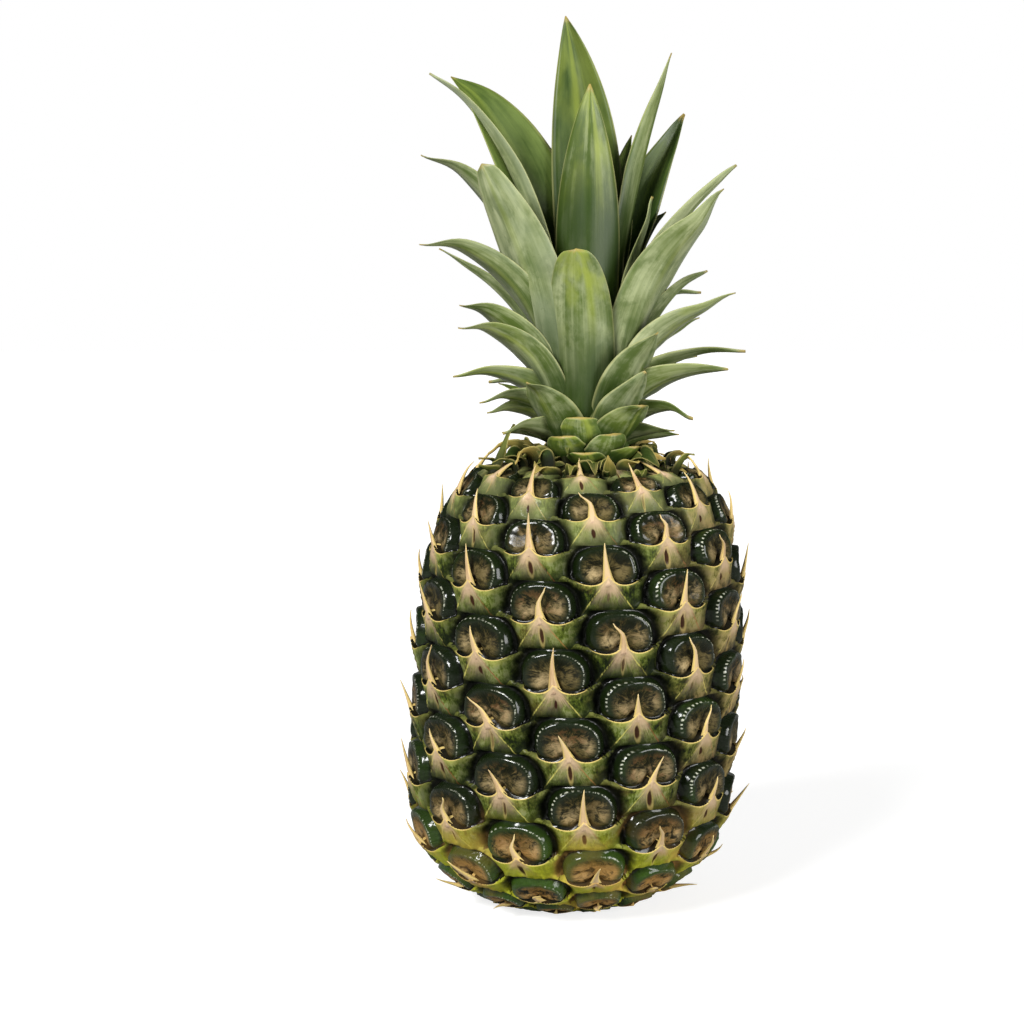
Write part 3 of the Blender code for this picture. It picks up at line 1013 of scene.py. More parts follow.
@dataclass(frozen=True)
class BladeShape:
    """How every leaf is folded, tapered and made a solid."""

    stem: tuple[tuple[float, float], ...] = (
        (0, 14.5),
        (5, 14.5),
        (25, 12.5),
        (55, 8.5),
        (80, 4.5),
        (92, 2.0),
    )
    sink: float = 3.5
    widest: float = 0.35
    root_width: float = 0.85
    tip_width: float = 0.5
    thickness: tuple[float, float] = (1.5, 0.45)
    fold: tuple[float, float] = (0.34, 0.14)
    fold_power: float = 1.35
    edge_thin: float = 0.75
    edge_power: float = 4
    roll_rate: float = 2
    ripple: float = 0.5
    ripples: tuple[float, float] = (0.4, 1.0)
    ripple_turns: float = 11
    curl_ends: tuple[float, float] = (0.78, 1.0)
    curl_power: float = 1.5
    across: int = 12
    rings: int = 34

    def build(self, name: str, blade: Blade, foot: Triple) -> bpy.types.Object:
        """Makes one leaf.

        Args:
            name: Its name.
            blade: Its sizes.
            foot: The middle of the seat, in metres.

        Returns:
            The leaf, as a closed piece.
        """
        angle = math.radians(blade.azimuth)
        roll = -math.radians(blade.roll) * math.sin(angle)
        heights, radii = zip(*self.stem)
        inner = np.interp(blade.root, heights, radii) - self.sink if blade.rooted is None else blade.rooted
        root = np.array([inner, blade.root])
        tip = np.array([blade.reach, blade.tip])
        middle = (root + tip) / 2
        bend = middle + (np.array([root[0], tip[1]]) - middle) * blade.arch
        side = around(angle + math.pi / 2, 1.0, 0.0)
        wave = random.Random(name)
        phase, ripple = wave.uniform(0, TAU), wave.uniform(*self.ripples)

        def place(step: Field, ring: Field) -> Field:
            """A point of the leaf."""
            share = ring / (self.rings - 1)
            left = 1 - share
            spine = np.multiply.outer(left**2, root) + np.multiply.outer(2 * left * share, bend)
            spine += np.multiply.outer(share**2, tip)
            along = np.multiply.outer(left, bend - root) + np.multiply.outer(share, tip - bend)
            along /= np.linalg.norm(along, axis=-1, keepdims=True)
            inward = np.stack((-along[:, 1], along[:, 0]), -1)
            under = step > self.across
            flat = np.where(under, 2 * self.across + 1 - step, step) / self.across - 0.5
            wide = np.maximum(blade.width * self._taper(share, blade.hem), self.tip_width)
            fold_share = self.fold[0] + (self.fold[1] - self.fold[0]) * share
            outward = np.abs(flat) * 2
            fold = wide * fold_share * outward**self.fold_power - wide * fold_share * 0.5
            thick = self.thickness[0] + (self.thickness[1] - self.thickness[0]) * share
            thick = thick * (1 - self.edge_thin * outward**self.edge_power)
            rippled = ripple * self.ripple * np.sin(share * self.ripple_turns + phase)
            rippled = rippled * outward**2 * np.sign(flat) * share
            rise = fold + rippled + np.where(under, -0.5, 0.5) * thick
            rise += blade.curl * smooth(*self.curl_ends, share) ** self.curl_power
            turn = roll * np.minimum(self.roll_rate * share, 1)
            sideways = flat * wide * np.cos(turn) - rise * np.sin(turn) + blade.sway * share**2
            rise = flat * wide * np.sin(turn) + rise * np.cos(turn)
            point = spine + inward * rise[:, None]
            offset = around(angle, point[:, 0], point[:, 1]) + np.multiply.outer(sideways, side)
            return np.array(foot) + offset * MM

        def chart(step: Field, ring: Field) -> tuple[Field, Field]:
            """The UV, the same on both faces."""
            folded = np.where(step > self.across, 2 * self.across + 1 - step, step)
            return folded / self.across, ring / (self.rings - 1)

        layers = {
            "tone": lambda step, ring: blade.tone + 0 * step,
            "dry": lambda step, ring: blade.dry + 0 * step,
            "under": lambda step, ring: (step > self.across).astype(float),
        }
        return SheetMesh(name, 2 * self.across + 2, self.rings).build(place, chart, layers)

    def _taper(self, share: Field, hem: Hem) -> Field:
        """Width along a leaf as a share of its greatest width."""
        grown = np.sin(np.clip(share / self.widest, 0, 1) * math.pi / 2)
        growing = self.root_width + (1 - self.root_width) * grown
        spent = np.clip((share - self.widest) / (1 - self.widest), 0, 1)
        return np.where(share < self.widest, growing, np.abs(np.cos(spent * math.pi / 2)) ** hem.value)


@dataclass(frozen=True)
class Crown:
    """The crown of leaves, each of them its own piece."""

    form: FruitForm = FruitForm()
    shape: BladeShape = BladeShape()
    stem_sides: int = 32
    gap: float = 0.3 * MM
    back_leaves: int = 16
    back_middle: float = 180.0
    back_spread: float = 62.0
    back_root: tuple[float, float] = (2.5, 38)
    back_reach: tuple[float, float] = (32, 20)
    back_reach_rate: float = 1.25
    back_tip: tuple[float, float] = (8, 92)
    back_tip_power: float = 1.15
    back_width: tuple[float, float] = (11, 8)
    back_arch: tuple[float, float] = (0.8, -0.45)
    golden_share: float = 0.618034
    tones: tuple[float, float] = (-0.2, 0.2)
    curls: tuple[float, float] = (-2.5, 2.0)
    full_curl: float = 40
    drynesses: tuple[float, float] = (-0.15, 0.15)
    seed: int = 5
    front: tuple[Blade, ...] = (
        Blade(165, 42, 14, 153.0, 25.5, 0.30, 0, 11.5, tone=0.6),
        Blade(-3, 38, 10, 128, 22, 0.20, 0, 1, tone=0.62, dry=0.7),
        Blade(-11, 12, 24, 72.5, 22.5, 0.50, 0, 0, Hem.BLUNT, tone=1.0, dry=0.1),
        Blade(-107, 40, 49.5, 133.5, 28, 0.50, -38, 0, curl=-2.0, tone=0.4, dry=-0.2),
        Blade(-100, 42, 55, 134, 15, 0.46, 20, 0, curl=-1.5, dry=-0.3),
        Blade(-142, 46, 40, 120, 18, 0.35, -25),
        Blade(-80, 32, 56.5, 107, 15, 0.50, 30, 0, curl=-4.0),
        Blade(-62, 20, 41.5, 100, 22, 0.30, 35, 0, Hem.BLUNT, tone=0.6, dry=-0.1),
        Blade(-112, 30, 42, 93, 14, 0.30, 0),
        Blade(-68, 18, 61.5, 77.5, 14, 0.75, 35, 0, curl=-4.5),
        Blade(-98, 22, 53, 71, 11, 0.50, 25),
        Blade(-70, 11, 46.5, 55.5, 15, 0.60, 40, 0, curl=-3.0),
        Blade(-58, 9, 52, 48.5, 13.5, 0.75, 35, 0, curl=-3.0),
        Blade(-72, 6, 49, 31, 14, 1.05, 35, 0, curl=-2.5),
        Blade(-105, 7, 36, 26.5, 11, 1.05, 20),
        Blade(-60, 4, 43.5, 23, 15, 1.10, 35, curl=-3.0),
        Blade(-68, 3, 38, 18.5, 14, 1.15, 38, curl=-2.5),
        Blade(-54, 2.5, 37, 12.5, 15, 1.10, 40, curl=-3.0),
        Blade(-88, 2.5, 30, 9, 12, 1.10, 30),
        Blade(-38, 5, 33, 29, 19, 0.15, 10),
        Blade(-5, 2.5, 19.5, 15.5, 17, -0.4, 4, -1, Hem.SQUARE, tone=0.8, dry=0.75),
        Blade(-26, 0, 22, 9, 15, -0.4, 8, 1, Hem.SQUARE, tone=0.8, dry=0.9),
        Blade(-1, -2.5, 21.5, 3.4, 14, -0.4, -6, -1, Hem.SQUARE, tone=0.7, dry=1.0),
        Blade(46, 9, 33, 43.5, 19, 0.40, 15),
        Blade(36, 6, 33, 30.5, 16, 0.25, 15),
        Blade(34, 3, 28, 20.5, 18, 0.0, 10, 2.5, Hem.BLUNT, tone=0.6, dry=0.7),
        Blade(20, -0.5, 21.5, 9.5, 15, -0.4, -8, 1, Hem.SQUARE, tone=0.5, dry=0.9),
        Blade(38, -2, 24, 5, 14, -0.3, 8, 2, Hem.BLUNT, tone=0.6, dry=1.0),
        Blade(66, 18, 51, 87.5, 20, 0.55, 35, 0, curl=6.5, tone=0.6, dry=0.0),
        Blade(96, 32, 52.5, 100.5, 12, 0.40, 35, dry=0.0),
        Blade(105, 45, 31, 139.5, 14, 0.25, 40),
        Blade(122, 38, 41, 118.5, 18, 0.35, -35, tone=0.3, dry=1.0),
        Blade(155, 42, 38, 112.5, 10, 0.30, 0),
        Blade(95, 30, 24, 89.5, 14, 0.30, 10),
        Blade(90, 16, 41, 65.5, 13, 0.50, 25),
        Blade(112, 18, 43, 58.5, 10, 0.90, 20),
        Blade(70, 11, 53, 54.5, 13, 0.75, 35, 0, curl=3.5, dry=0.0),
        Blade(98, 12, 40, 46.5, 12, 0.70, 25),
        Blade(80, 7, 55, 38.5, 14, 0.95, 20, dry=0.4),
        Blade(66, 6, 52, 32, 15, 0.95, 40, dry=0.3),
        Blade(64, 4, 41, 18.5, 14, 1.15, 38, curl=-4.5),
        Blade(60, 3, 34, 10.5, 13, 1.15, 35),
        Blade(82, 2.5, 32, 8, 12, 1.10, 30),
    )

    @property
    def foot(self) -> Triple:
        """The middle of the crown's foot, in metres."""
        return self.form.lean * self.form.seat_height, 0.0, self.form.seat_height + self.gap

    def blades(self) -> list[Blade]:
        """Every leaf's sizes, the far side's placed by rule."""
        chance = random.Random(self.seed)
        every = list(self.front)
        for index in range(self.back_leaves):
            share = index / (self.back_leaves - 1)
            azimuth = self.back_middle + self.back_spread * (2 * (index * self.golden_share % 1) - 1)
            bowed = math.sin(math.pi * min(self.back_reach_rate * share, 1))
            grown = (
                (self.back_root, share),
                (self.back_reach, bowed),
                (self.back_tip, share**self.back_tip_power),
                (self.back_width, share),
                (self.back_arch, share),
            )
            every.append(Blade(azimuth, *(least + more * part for (least, more), part in grown), 0))
        varied = []
        for blade in every:
            tone = min(max(blade.tone + chance.uniform(*self.tones), 0), 1)
            curl = blade.curl or chance.uniform(*self.curls) * min(blade.tip / self.full_curl, 1)
            dry = blade.dry + chance.uniform(*self.drynesses)
            varied.append(replace(blade, tone=tone, curl=curl, dry=dry))
        return varied

    def build(self) -> list[bpy.types.Object]:
        """Makes the stem and every leaf."""

        def place(step: Field, ring: Field) -> Field:
            """A point of the stem."""
            heights, radii = (np.array(side, dtype=float) for side in zip(*self.shape.stem))
            turn = TAU * step / self.stem_sides
            return np.array(self.foot) + around(turn, radii[ring], heights[ring]) * MM

        pieces = [SheetMesh("crown_stem", self.stem_sides, len(self.shape.stem)).build(place)]
        for index, blade in enumerate(self.blades()):
            pieces.append(self.shape.build(f"crown_leaf_{index + 1:02d}", blade, self.foot))
        return pieces


@dataclass(frozen=True)
class Collar:
    """Withered bracts that curl over round the foot of the crown, with a few tall dry blades."""

    form: FruitForm = FruitForm()
    shape: BladeShape = BladeShape(thickness=(1.0, 0.6), fold=(0.45, 0.2), rings=16, across=6)
    rows: tuple[tuple[int, float, float], ...] = (
        (15, 18.5, 0.0),
        (17, 22.5, 0.5),
        (18, 27.0, 0.2),
        (16, 31.5, 0.7),
    )
    slope: float = 0.226
    level_radius: float = 17
    sunk: float = 2.6
    turns: tuple[float, float] = (-0.3, 0.3)
    shifts: tuple[float, float] = (-1.5, 1.5)
    reaches: tuple[float, float] = (2.0, 9.5)
    rises: tuple[float, float] = (2.5, 8.0)
    widths: tuple[float, float] = (2.4, 8.5)
    bends: tuple[tuple[float, float], ...] = ((0.9, 2.6), (-65, 65), (-5, 5), (-4.5, 1))
    tall: tuple[Blade, ...] = (
        Blade(-68, -8, 29, 13, 4.4, -0.2, 20, 1, tone=0.9, dry=0.5, curl=1.5, rooted=38.0),
        Blade(-52, -6, 36, 3, 6, 2.0, 40, 3, tone=0.9, dry=1.0, curl=-3.5, rooted=25.0),
        Blade(-78, -6, 36, 4, 6, 2.0, 40, -2, tone=0.9, dry=0.9, curl=-3.0, rooted=24.0),
        Blade(62, -7, 40, 4, 4, 0.5, 10, 1, tone=0.7, dry=0.4, curl=-1.5, rooted=33.0),
        Blade(14, -8, 35, 3, 5, 0.3, 0, -2, tone=0.9, dry=0.8, curl=1.0, rooted=30.0),
        Blade(150, -8, 34, 8, 5, 0.3, 0, 2, tone=0.7, dry=0.5, curl=1.0, rooted=33.0),
    )
    seed: int = 23

    def build(self) -> bpy.types.Object:
        """Makes every dried bract and joins them."""
        chance = random.Random(self.seed)
        foot = (self.form.lean * self.form.seat_height, 0.0, self.form.seat_height)
        blades = list(self.tall)
        for number, radius, shift in self.rows:
            for index in range(number):
                azimuth = (index + shift + chance.uniform(*self.turns)) * 360 / number
                root = radius + chance.uniform(*self.shifts)
                height = -self.slope * (root - self.level_radius) - self.sunk
                reach = root + chance.uniform(*self.reaches)
                tip = height + chance.uniform(*self.rises)
                width = self.widths[0] + self.widths[1] * chance.random() ** 2
                arch, roll, sway, curl = (chance.uniform(*ends) for ends in self.bends)
                tone, dry = chance.random(), chance.random()
                shape = (azimuth, height, reach, tip, width, arch, roll, sway, Hem.POINTED, curl)
                blades.append(Blade(*shape, tone, dry, root))
        return joined([self.shape.build("collar_bract", blade, foot) for blade in blades], "dried_collar")


class Finish:
    """A material: what its shader's inputs get."""

    name: str

    def inputs(self, nodes: Nodes, effects: Effects) -> dict[str, object]:
        """Values that change over the surface, and plain numbers, by the name of the shader's input."""
        raise NotImplementedError

    def material(self, effects: Effects) -> bpy.types.Material:
        """Makes the material."""
        look = bpy.data.materials.new(self.name)
        look.use_nodes = True
        nodes = Nodes(look.node_tree)
        shader = look.node_tree.nodes["Principled BSDF"]
        for socket, value in self.inputs(nodes, effects).items():
            nodes.put(value, shader.inputs[socket])
        return look


@dataclass(frozen=True)
class RindFinish(Finish):
    """Waxy rind: glossy dark eyes, green bracts with thin tan edges, yellow towards the foot that is partly
    painted light, and painted shade, glints and warm light.
    """

    name: str = "rind"
    shape: Fruitlet = Fruitlet()
    rim: Colour = srgb(15, 25, 5)
    rim_green: Colour = srgb(42, 64, 15)
    # Pale colour of the painted glints and of the painted reflection along the eye's rim.
    glint: Colour = srgb(206, 208, 186)
    dish_dark: Colour = srgb(20, 21, 9)
    dish_mid: Colour = srgb(86, 76, 43)
    dish_pale: Colour = srgb(188, 166, 122)
    dish_brown: Colour = srgb(92, 58, 36)
    # Near black: painted shade in the groove round each eye, painted shadow above each lip and under the
    # crown.
    groove: Colour = srgb(2, 3, 1)
    wing: Colour = srgb(90, 104, 32)
    # Dark green of the wings, also painted as shade towards the bract's foot and corners.
    wing_dark: Colour = srgb(13, 21, 4)
    # Pale yellow-green near the lip: partly the bract's own colour, partly a painted highlight.
    wing_pale_and_highlight: Colour = srgb(152, 154, 74)
    wing_grey: Colour = srgb(134, 138, 96)
    # Yellow of the ripening foot, made brighter as painted light from below.
    yellow: Colour = srgb(174, 178, 42)
    panel: Colour = srgb(188, 162, 130)
    ridge: Colour = srgb(184, 176, 92)
    ridge_red: Colour = srgb(122, 64, 40)
    lip: Colour = srgb(198, 174, 104)
    slit: Colour = srgb(46, 18, 10)
    brown: Colour = srgb(96, 78, 40)
    orange: Colour = srgb(206, 156, 84)
    straw: Colour = srgb(126, 132, 84)
    # Warm tan painted as light falling on the fruit's right side.
    tan: Colour = srgb(162, 132, 88)
    tan_places: tuple[float, float] = (26 * MM, 60 * MM)
    yellow_heights: tuple[float, float] = (48 * MM, 12 * MM)
    pale_heights: tuple[float, float] = (118 * MM, 152 * MM)
    crown_shade_heights: tuple[float, float] = (153.2 * MM, 155.2 * MM)
    eye_edge_shade: tuple[float, float] = (0.93, 1.0)
    reflection_ring: float = 0.80
    bead_ring: float = 0.84
    bead_turns: float = 34.0
    slit_below: float = 5.0
    coat_roughness: float = 0.13
    specular: float = 0.07

    def inputs(self, nodes: Nodes, effects: Effects) -> dict[str, object]:
        """Mixes the eyes and the bracts, with low and high places of their own colour, and painted shade
        under the crown.
        """
        seen = effects.nearest_fruitlet(nodes)
        place = nodes.place()
        fine = nodes.noise(place, 520.0, 4, 0.65)
        soft = nodes.noise(place, 150.0, 4, 0.6)
        broad = nodes.noise(place, 62.0, 3, 0.6)
        wander = soft - 0.5
        rise = nodes.parts(place)[2]
        height = rise + wander * (16 * MM)
        low = height.ramp(*self.yellow_heights)
        high = height.ramp(*self.pale_heights)
        eye, ring, beads = self._eye(nodes, seen, wander, fine, low)
        bract = self._bract(nodes, effects, seen, (fine, soft, broad), low, high)
        is_eye = ring.ramp(1.0, 0.985)
        patches = nodes.noise(place, 46.0, 3).ramp(0.48, 0.64)
        # Painted shade in the hollow under the crown, near the seat.
        crown_shade = (rise + wander * (3 * MM)).ramp(*self.crown_shade_heights)
        colour = nodes.coats(
            bract,
            (eye, is_eye),
            (self.orange, low * patches * (is_eye * -0.38 + 0.5)),
            (self.groove, crown_shade * 0.85),
        )
        relief = beads * 0.45 * is_eye + fine * 0.4 + soft * 0.9
        gloss = ring.ramp(0.45, 0.8) * is_eye
        return {
            "Base Color": colour,
            "Roughness": gloss * -0.12 + fine * 0.2 + 0.46,
            "Normal": nodes.bump(relief, 0.9, 0.8 * MM),
            "Coat Weight": gloss * 0.42 + 0.06,
            "Coat Roughness": self.coat_roughness,
            "Specular IOR Level": self.specular,
        }

    def _eye(
        self, nodes: Nodes, seen: dict[str, Value], wander: Value, fine: Value, low: Value
    ) -> tuple[object, Value, Value]:
        """Colours the eye: a dark glossy rim round a dish with pale patches beside the thorn, painted glints
        and a painted reflection on the rim, and painted shade round its edge and above the lip.

        Args:
            nodes: The material's nodes.
            seen: The fruitlet at each point.
            wander: Soft unevenness about 0.
            fine: Fine noise.
            low: How near the foot of the fruit.

        Returns:
            The colour, the ring and the beads on the rim.
        """
        across, up, chance = seen["Across"], seen["Up"], seen["Chance"]
        other = self.shape.other_chance(chance)
        ring = seen["Ring"] + wander * 0.07
        flat = across / self.shape.eye_half
        tall = (up - self.shape.eye_up) / self.shape.eye_below
        turn = nodes.math("ARCTAN2", tall, flat)
        lumps = nodes.noise(nodes.vector(flat * 1.6, tall * 1.3, chance * 50.0), 2.1, 5, 0.7, 0.8) - 0.5
        streak = nodes.noise(nodes.vector(turn * 5.0, ring * 1.6, chance * 40.0), 2.4, 4, 0.7) - 0.5
        uneven = lumps * 3.6 + streak * 1.2 + (fine - 0.5) * 1.6
        patches = (
            (-4.4, 2.5, 4.6, 2.8, chance.ramp(0.0, 1.0, 0.95, 0.5)),
            (5.6, 3.5, 3.8, 3.4, other.ramp(0.0, 1.0, 0.1, 0.6)),
        )
        pale = []
        for side, rise, wide, high, share in patches:
            aside = (across - (other * 2.0 + side)) / wide
            above = (up - (chance * 1.8 + rise)) / high
            away = (aside**2.0 + above**2.0).square_root()
            pale.append((away - uneven).ramp(1.3, -0.7) * share)
        shade = lumps + streak * 0.6 + tall * -0.16
        dish = nodes.coats(
            self.dish_dark,
            (self.dish_mid, shade.ramp(-0.14, 0.14)),
            (self.dish_brown, lumps.ramp(0.0, 0.10) * other.ramp(0.3, 0.8) * 0.6),
            (self.dish_pale, pale[0].most(pale[1])),
            (self.orange, low * lumps.ramp(-0.12, 0.05) * 0.5),
            (self.dish_dark, lumps.ramp(-0.08, -0.22) * (low * -0.35 + 0.5)),
        )
        rim = nodes.coats(self.rim, (self.rim_green, (low + chance * 0.45 + wander).ramp(0.30, 1.0)))
        # Painted reflection: a thin pale line along the right of the eye's rim.
        seam = ring.line(self.reflection_ring, 0.008, 0.02) * streak.ramp(-0.02, 0.1) * across.ramp(-2.0, 6.0)
        lit = (across + other * 7.0).ramp(4.0, -3.0) * up.ramp(2.0, 6.0)
        beads = (turn * self.bead_turns + wander * 16.0).sine().ramp(-0.1, 0.8)
        beads = beads * ring.line(self.bead_ring, 0.008, 0.024) * low.ramp(0.6, 0.1)
        eye = nodes.coats(
            dish,
            (rim, (ring + lumps * 0.3).ramp(0.55, 0.80)),
            (rim, up.ramp(6.5, 11.5) * 0.6),
            (self.glint, seam * 0.6),
            # Painted glints: pale dots on the rim's beads, on the upper left of the eye.
            (self.glint, beads * lit * (fine + wander + chance).ramp(0.8, 1.2) * 0.7),
            # Painted shade: black in the groove at the eye's edge.
            (self.groove, ring.ramp(*self.eye_edge_shade)),
            # Painted shadow on the eye just above the lip.
            (self.groove, seen["Over"].ramp(1.7, 0.2) * 0.9),
        )
        return eye, ring, beads * 0.12 + streak * 1.6

    def _bract(
        self,
        nodes: Nodes,
        effects: Effects,
        seen: dict[str, Value],
        noises: tuple[Value, Value, Value],
        low: Value,
        high: Value,
    ) -> object:
        """Colours the bract: green wings, a pale panel between two ridges, a slit and a thin tan lip, with
        painted shade at its foot, corners and round the eye, a partly painted highlight by the lip and
        painted warm light on the fruit's right.

        Args:
            nodes: The material's nodes.
            effects: The shared node groups.
            seen: The fruitlet at each point.
            noises: Fine, soft and broad noise.
            low: How near the foot of the fruit.
            high: How near the crown.

        Returns:
            The colour.
        """
        across, up, over, chance = (seen["Bract " + name] for name in ("across", "up", "over", "chance"))
        fine, soft, broad = noises
        wander = soft - 0.5
        aside = abs(across)
        fibre_place = nodes.vector(across * 0.07, up * 0.12, chance * 30.0)
        fibre = effects.use(nodes, effects.fibre, UV=fibre_place, Lines=26.0, Waver=0.25)["Fibre"]
        mottled = fibre * 0.5 + soft * 0.8 + fine * 0.6 + chance * 0.12 - 0.51
        wing = nodes.coats(
            self.wing_dark,
            (self.wing, mottled.ramp(0.32, 0.66)),
            (self.wing_grey, mottled.ramp(0.50, 0.72) * 0.7),
            (self.brown, (broad + fine * 0.3).ramp(0.66, 0.80) * 0.45),
            # Paler near the lip: partly the bract's own colour, partly a painted highlight.
            (self.wing_pale_and_highlight, (over + wander * 3.0).ramp(-2.6, -0.2) * mottled.ramp(0.35, 0.65, 0.15, 0.7)),
            # Painted shade: the wing darkens towards the bract's foot.
            (self.wing_dark, (over + wander * 6.0).ramp(-3.5, -9.0) * 0.85),
        )
        fan = across / (abs(up) * 0.77 + 1.6)
        rays = nodes.noise(nodes.vector(fan * 9.0, up * 0.1, chance * 20.0), 1.0, 4, 0.7)
        panel = nodes.coats(
            self.panel,
            (self.wing_grey, up.ramp(-2.5, -10.0)),
            (self.wing, (rays + wander).ramp(0.44, 0.66) * 0.7),
            (self.brown, (rays - wander).ramp(0.58, 0.72) * 0.5),
        )
        ridge = nodes.coats(self.ridge, (self.ridge_red, across.ramp(-0.5, 0.5) * chance.ramp(0.3, 0.6)))
        ridge_far = up * (-self.shape.ridge_spread / self.shape.ridge_length) + self.shape.ridge_near
        from_ridge = aside - ridge_far + wander * 1.1
        worn = (fibre + wander).ramp(0.30, 0.62)
        fill_lit_side = nodes.parts(nodes.place())[0] + wander * (30 * MM)
        thorn_base = (aside + up * 0.45).ramp(4.0, 0.6) * up.ramp(-5.0, -0.8)
        on_lip = (over - aside.ramp(2.0, 5.0, -0.62, -0.30)).ramp(-0.08, 0.1)
        return nodes.coats(
            wing,
            (panel, from_ridge.ramp(0.4, -1.3) * up.ramp(-9.5, -0.5) * 0.8),
            (ridge, from_ridge.line(0.0, 0.10, 0.3) * up.ramp(-11.5, -7.0) * worn * 0.85),
            # Yellow towards the foot: the ripening colour, brightened as painted light from below.
            (self.yellow, low * mottled.ramp(0.35, 0.6, 0.6, 0.9)),
            (self.straw, high * 0.45),
            # Painted warm light: tan towards the fruit's right side.
            (self.tan, fill_lit_side.ramp(*self.tan_places) * mottled.ramp(0.35, 0.65, 0.05, 0.55)),
            # Painted shade: the wing darkens towards its outer corners.
            (self.wing_dark, (aside + wander * 4.0).ramp(6.5, 11.0) * (low * -0.5 + 0.6)),
            (self.panel, thorn_base * 0.9),
            *self._slit(across, up, chance),
            (self.lip, on_lip * fibre.ramp(0.25, 0.5, 0.5, 0.95) * aside.ramp(12.0, 8.0)),
            # Painted shade: the bract darkens to black next to the eye.
            (self.groove, (seen["Ring"] + wander * 0.25).ramp(1.32, 1.10) * 0.96),
        )

    def _slit(self, across: Value, up: Value, chance: Value) -> tuple[tuple[Colour, Value], ...]:
        """The dark slit in the keel, with a pale edge round it.

        Args:
            across: Distance from the bract's middle.
            up: Height over the lip's middle.
            chance: A number of the fruitlet's own.

        Returns:
            Their coats over the bract's colour.
        """
        other = self.shape.other_chance(chance)
        middle = up + self.slit_below
        wide = (across + middle * chance.ramp(0.0, 1.0, -0.10, 0.16)) / chance.ramp(0.0, 1.0, 0.45, 0.95)
        long = middle / other.ramp(0.0, 1.0, 1.5, 3.1)
        away = wide**2.0 + long**2.0
        return (
            (self.lip, away.ramp(3.2, 1.4) * other.ramp(0.2, 0.8, 0.0, 0.35)),
            (self.slit, away.ramp(1.3, 0.5) * chance.ramp(0.05, 0.3, 0.3, 0.95)),
        )


@dataclass(frozen=True)
class ThornFinish(Finish):
    """Dry pinkish bract tip with yellow edges."""

    name: str = "thorn"
    root: Colour = srgb(198, 170, 138)
    middle: Colour = srgb(200, 172, 126)
    tip: Colour = srgb(206, 182, 134)
    edge: Colour = srgb(208, 184, 98)
    brown: Colour = srgb(140, 96, 64)
    roughness: float = 0.62

    def inputs(self, nodes: Nodes, effects: Effects) -> dict[str, object]:
        """Shades the thorn from its root to its tip."""
        uv = nodes.uv()
        across, along, _ = nodes.parts(uv)
        fibre = effects.use(nodes, effects.fibre, UV=uv, Lines=14.0, Waver=0.04)["Fibre"]
        beside = abs((across * TAU).cosine())
        colour = nodes.coats(
            self.root,
            (self.middle, along.ramp(0.0, 0.45)),
            (self.tip, along.ramp(0.5, 1.0)),
            (self.edge, beside.ramp(0.5, 0.95) * 0.75),
            (self.brown, nodes.stored("tone").ramp(0.35, 1.0) * fibre.ramp(0.4, 0.65) * 0.7),
        )
        return {"Base Color": colour, "Normal": nodes.bump(fibre, 0.5, 0.3 * MM), "Roughness": self.roughness}


@dataclass(frozen=True)
class CollarFinish(Finish):
    """Withered bract: olive to tan, with pale edges and painted shade at its foot."""

    name: str = "withered bract"
    green: Colour = srgb(40, 56, 18)
    olive: Colour = srgb(84, 90, 36)
    tan: Colour = srgb(176, 148, 80)
    edge: Colour = srgb(184, 170, 104)
    dark: Colour = srgb(12, 13, 5)
    roughness: float = 0.6
    specular: float = 0.12

    def inputs(self, nodes: Nodes, effects: Effects) -> dict[str, object]:
        """Shades the bract by its tone, its dryness and its fibres."""
        uv = nodes.uv()
        across, along, _ = nodes.parts(uv)
        tone, dry = nodes.stored("tone"), nodes.stored("dry")
        fibre = effects.use(nodes, effects.fibre, UV=uv, Lines=12.0, Waver=0.08)["Fibre"]
        colour = nodes.coats(
            self.green,
            (self.olive, (tone + fibre).ramp(0.6, 1.2)),
            (self.tan, (along * 0.5 + dry * 0.7 + fibre * 0.5).ramp(1.0, 1.5) * 0.85),
            (self.edge, abs(across - 0.5).ramp(0.40, 0.49) * 0.55),
            # Painted shade: the bract darkens towards its foot.
            (self.dark, along.ramp(0.7, 0.25) * 0.9),
        )
        return {
            "Base Color": colour,
            "Normal": nodes.bump(fibre, 0.5, 0.3 * MM),
            "Roughness": self.roughness,
            "Specular IOR Level": self.specular,
        }


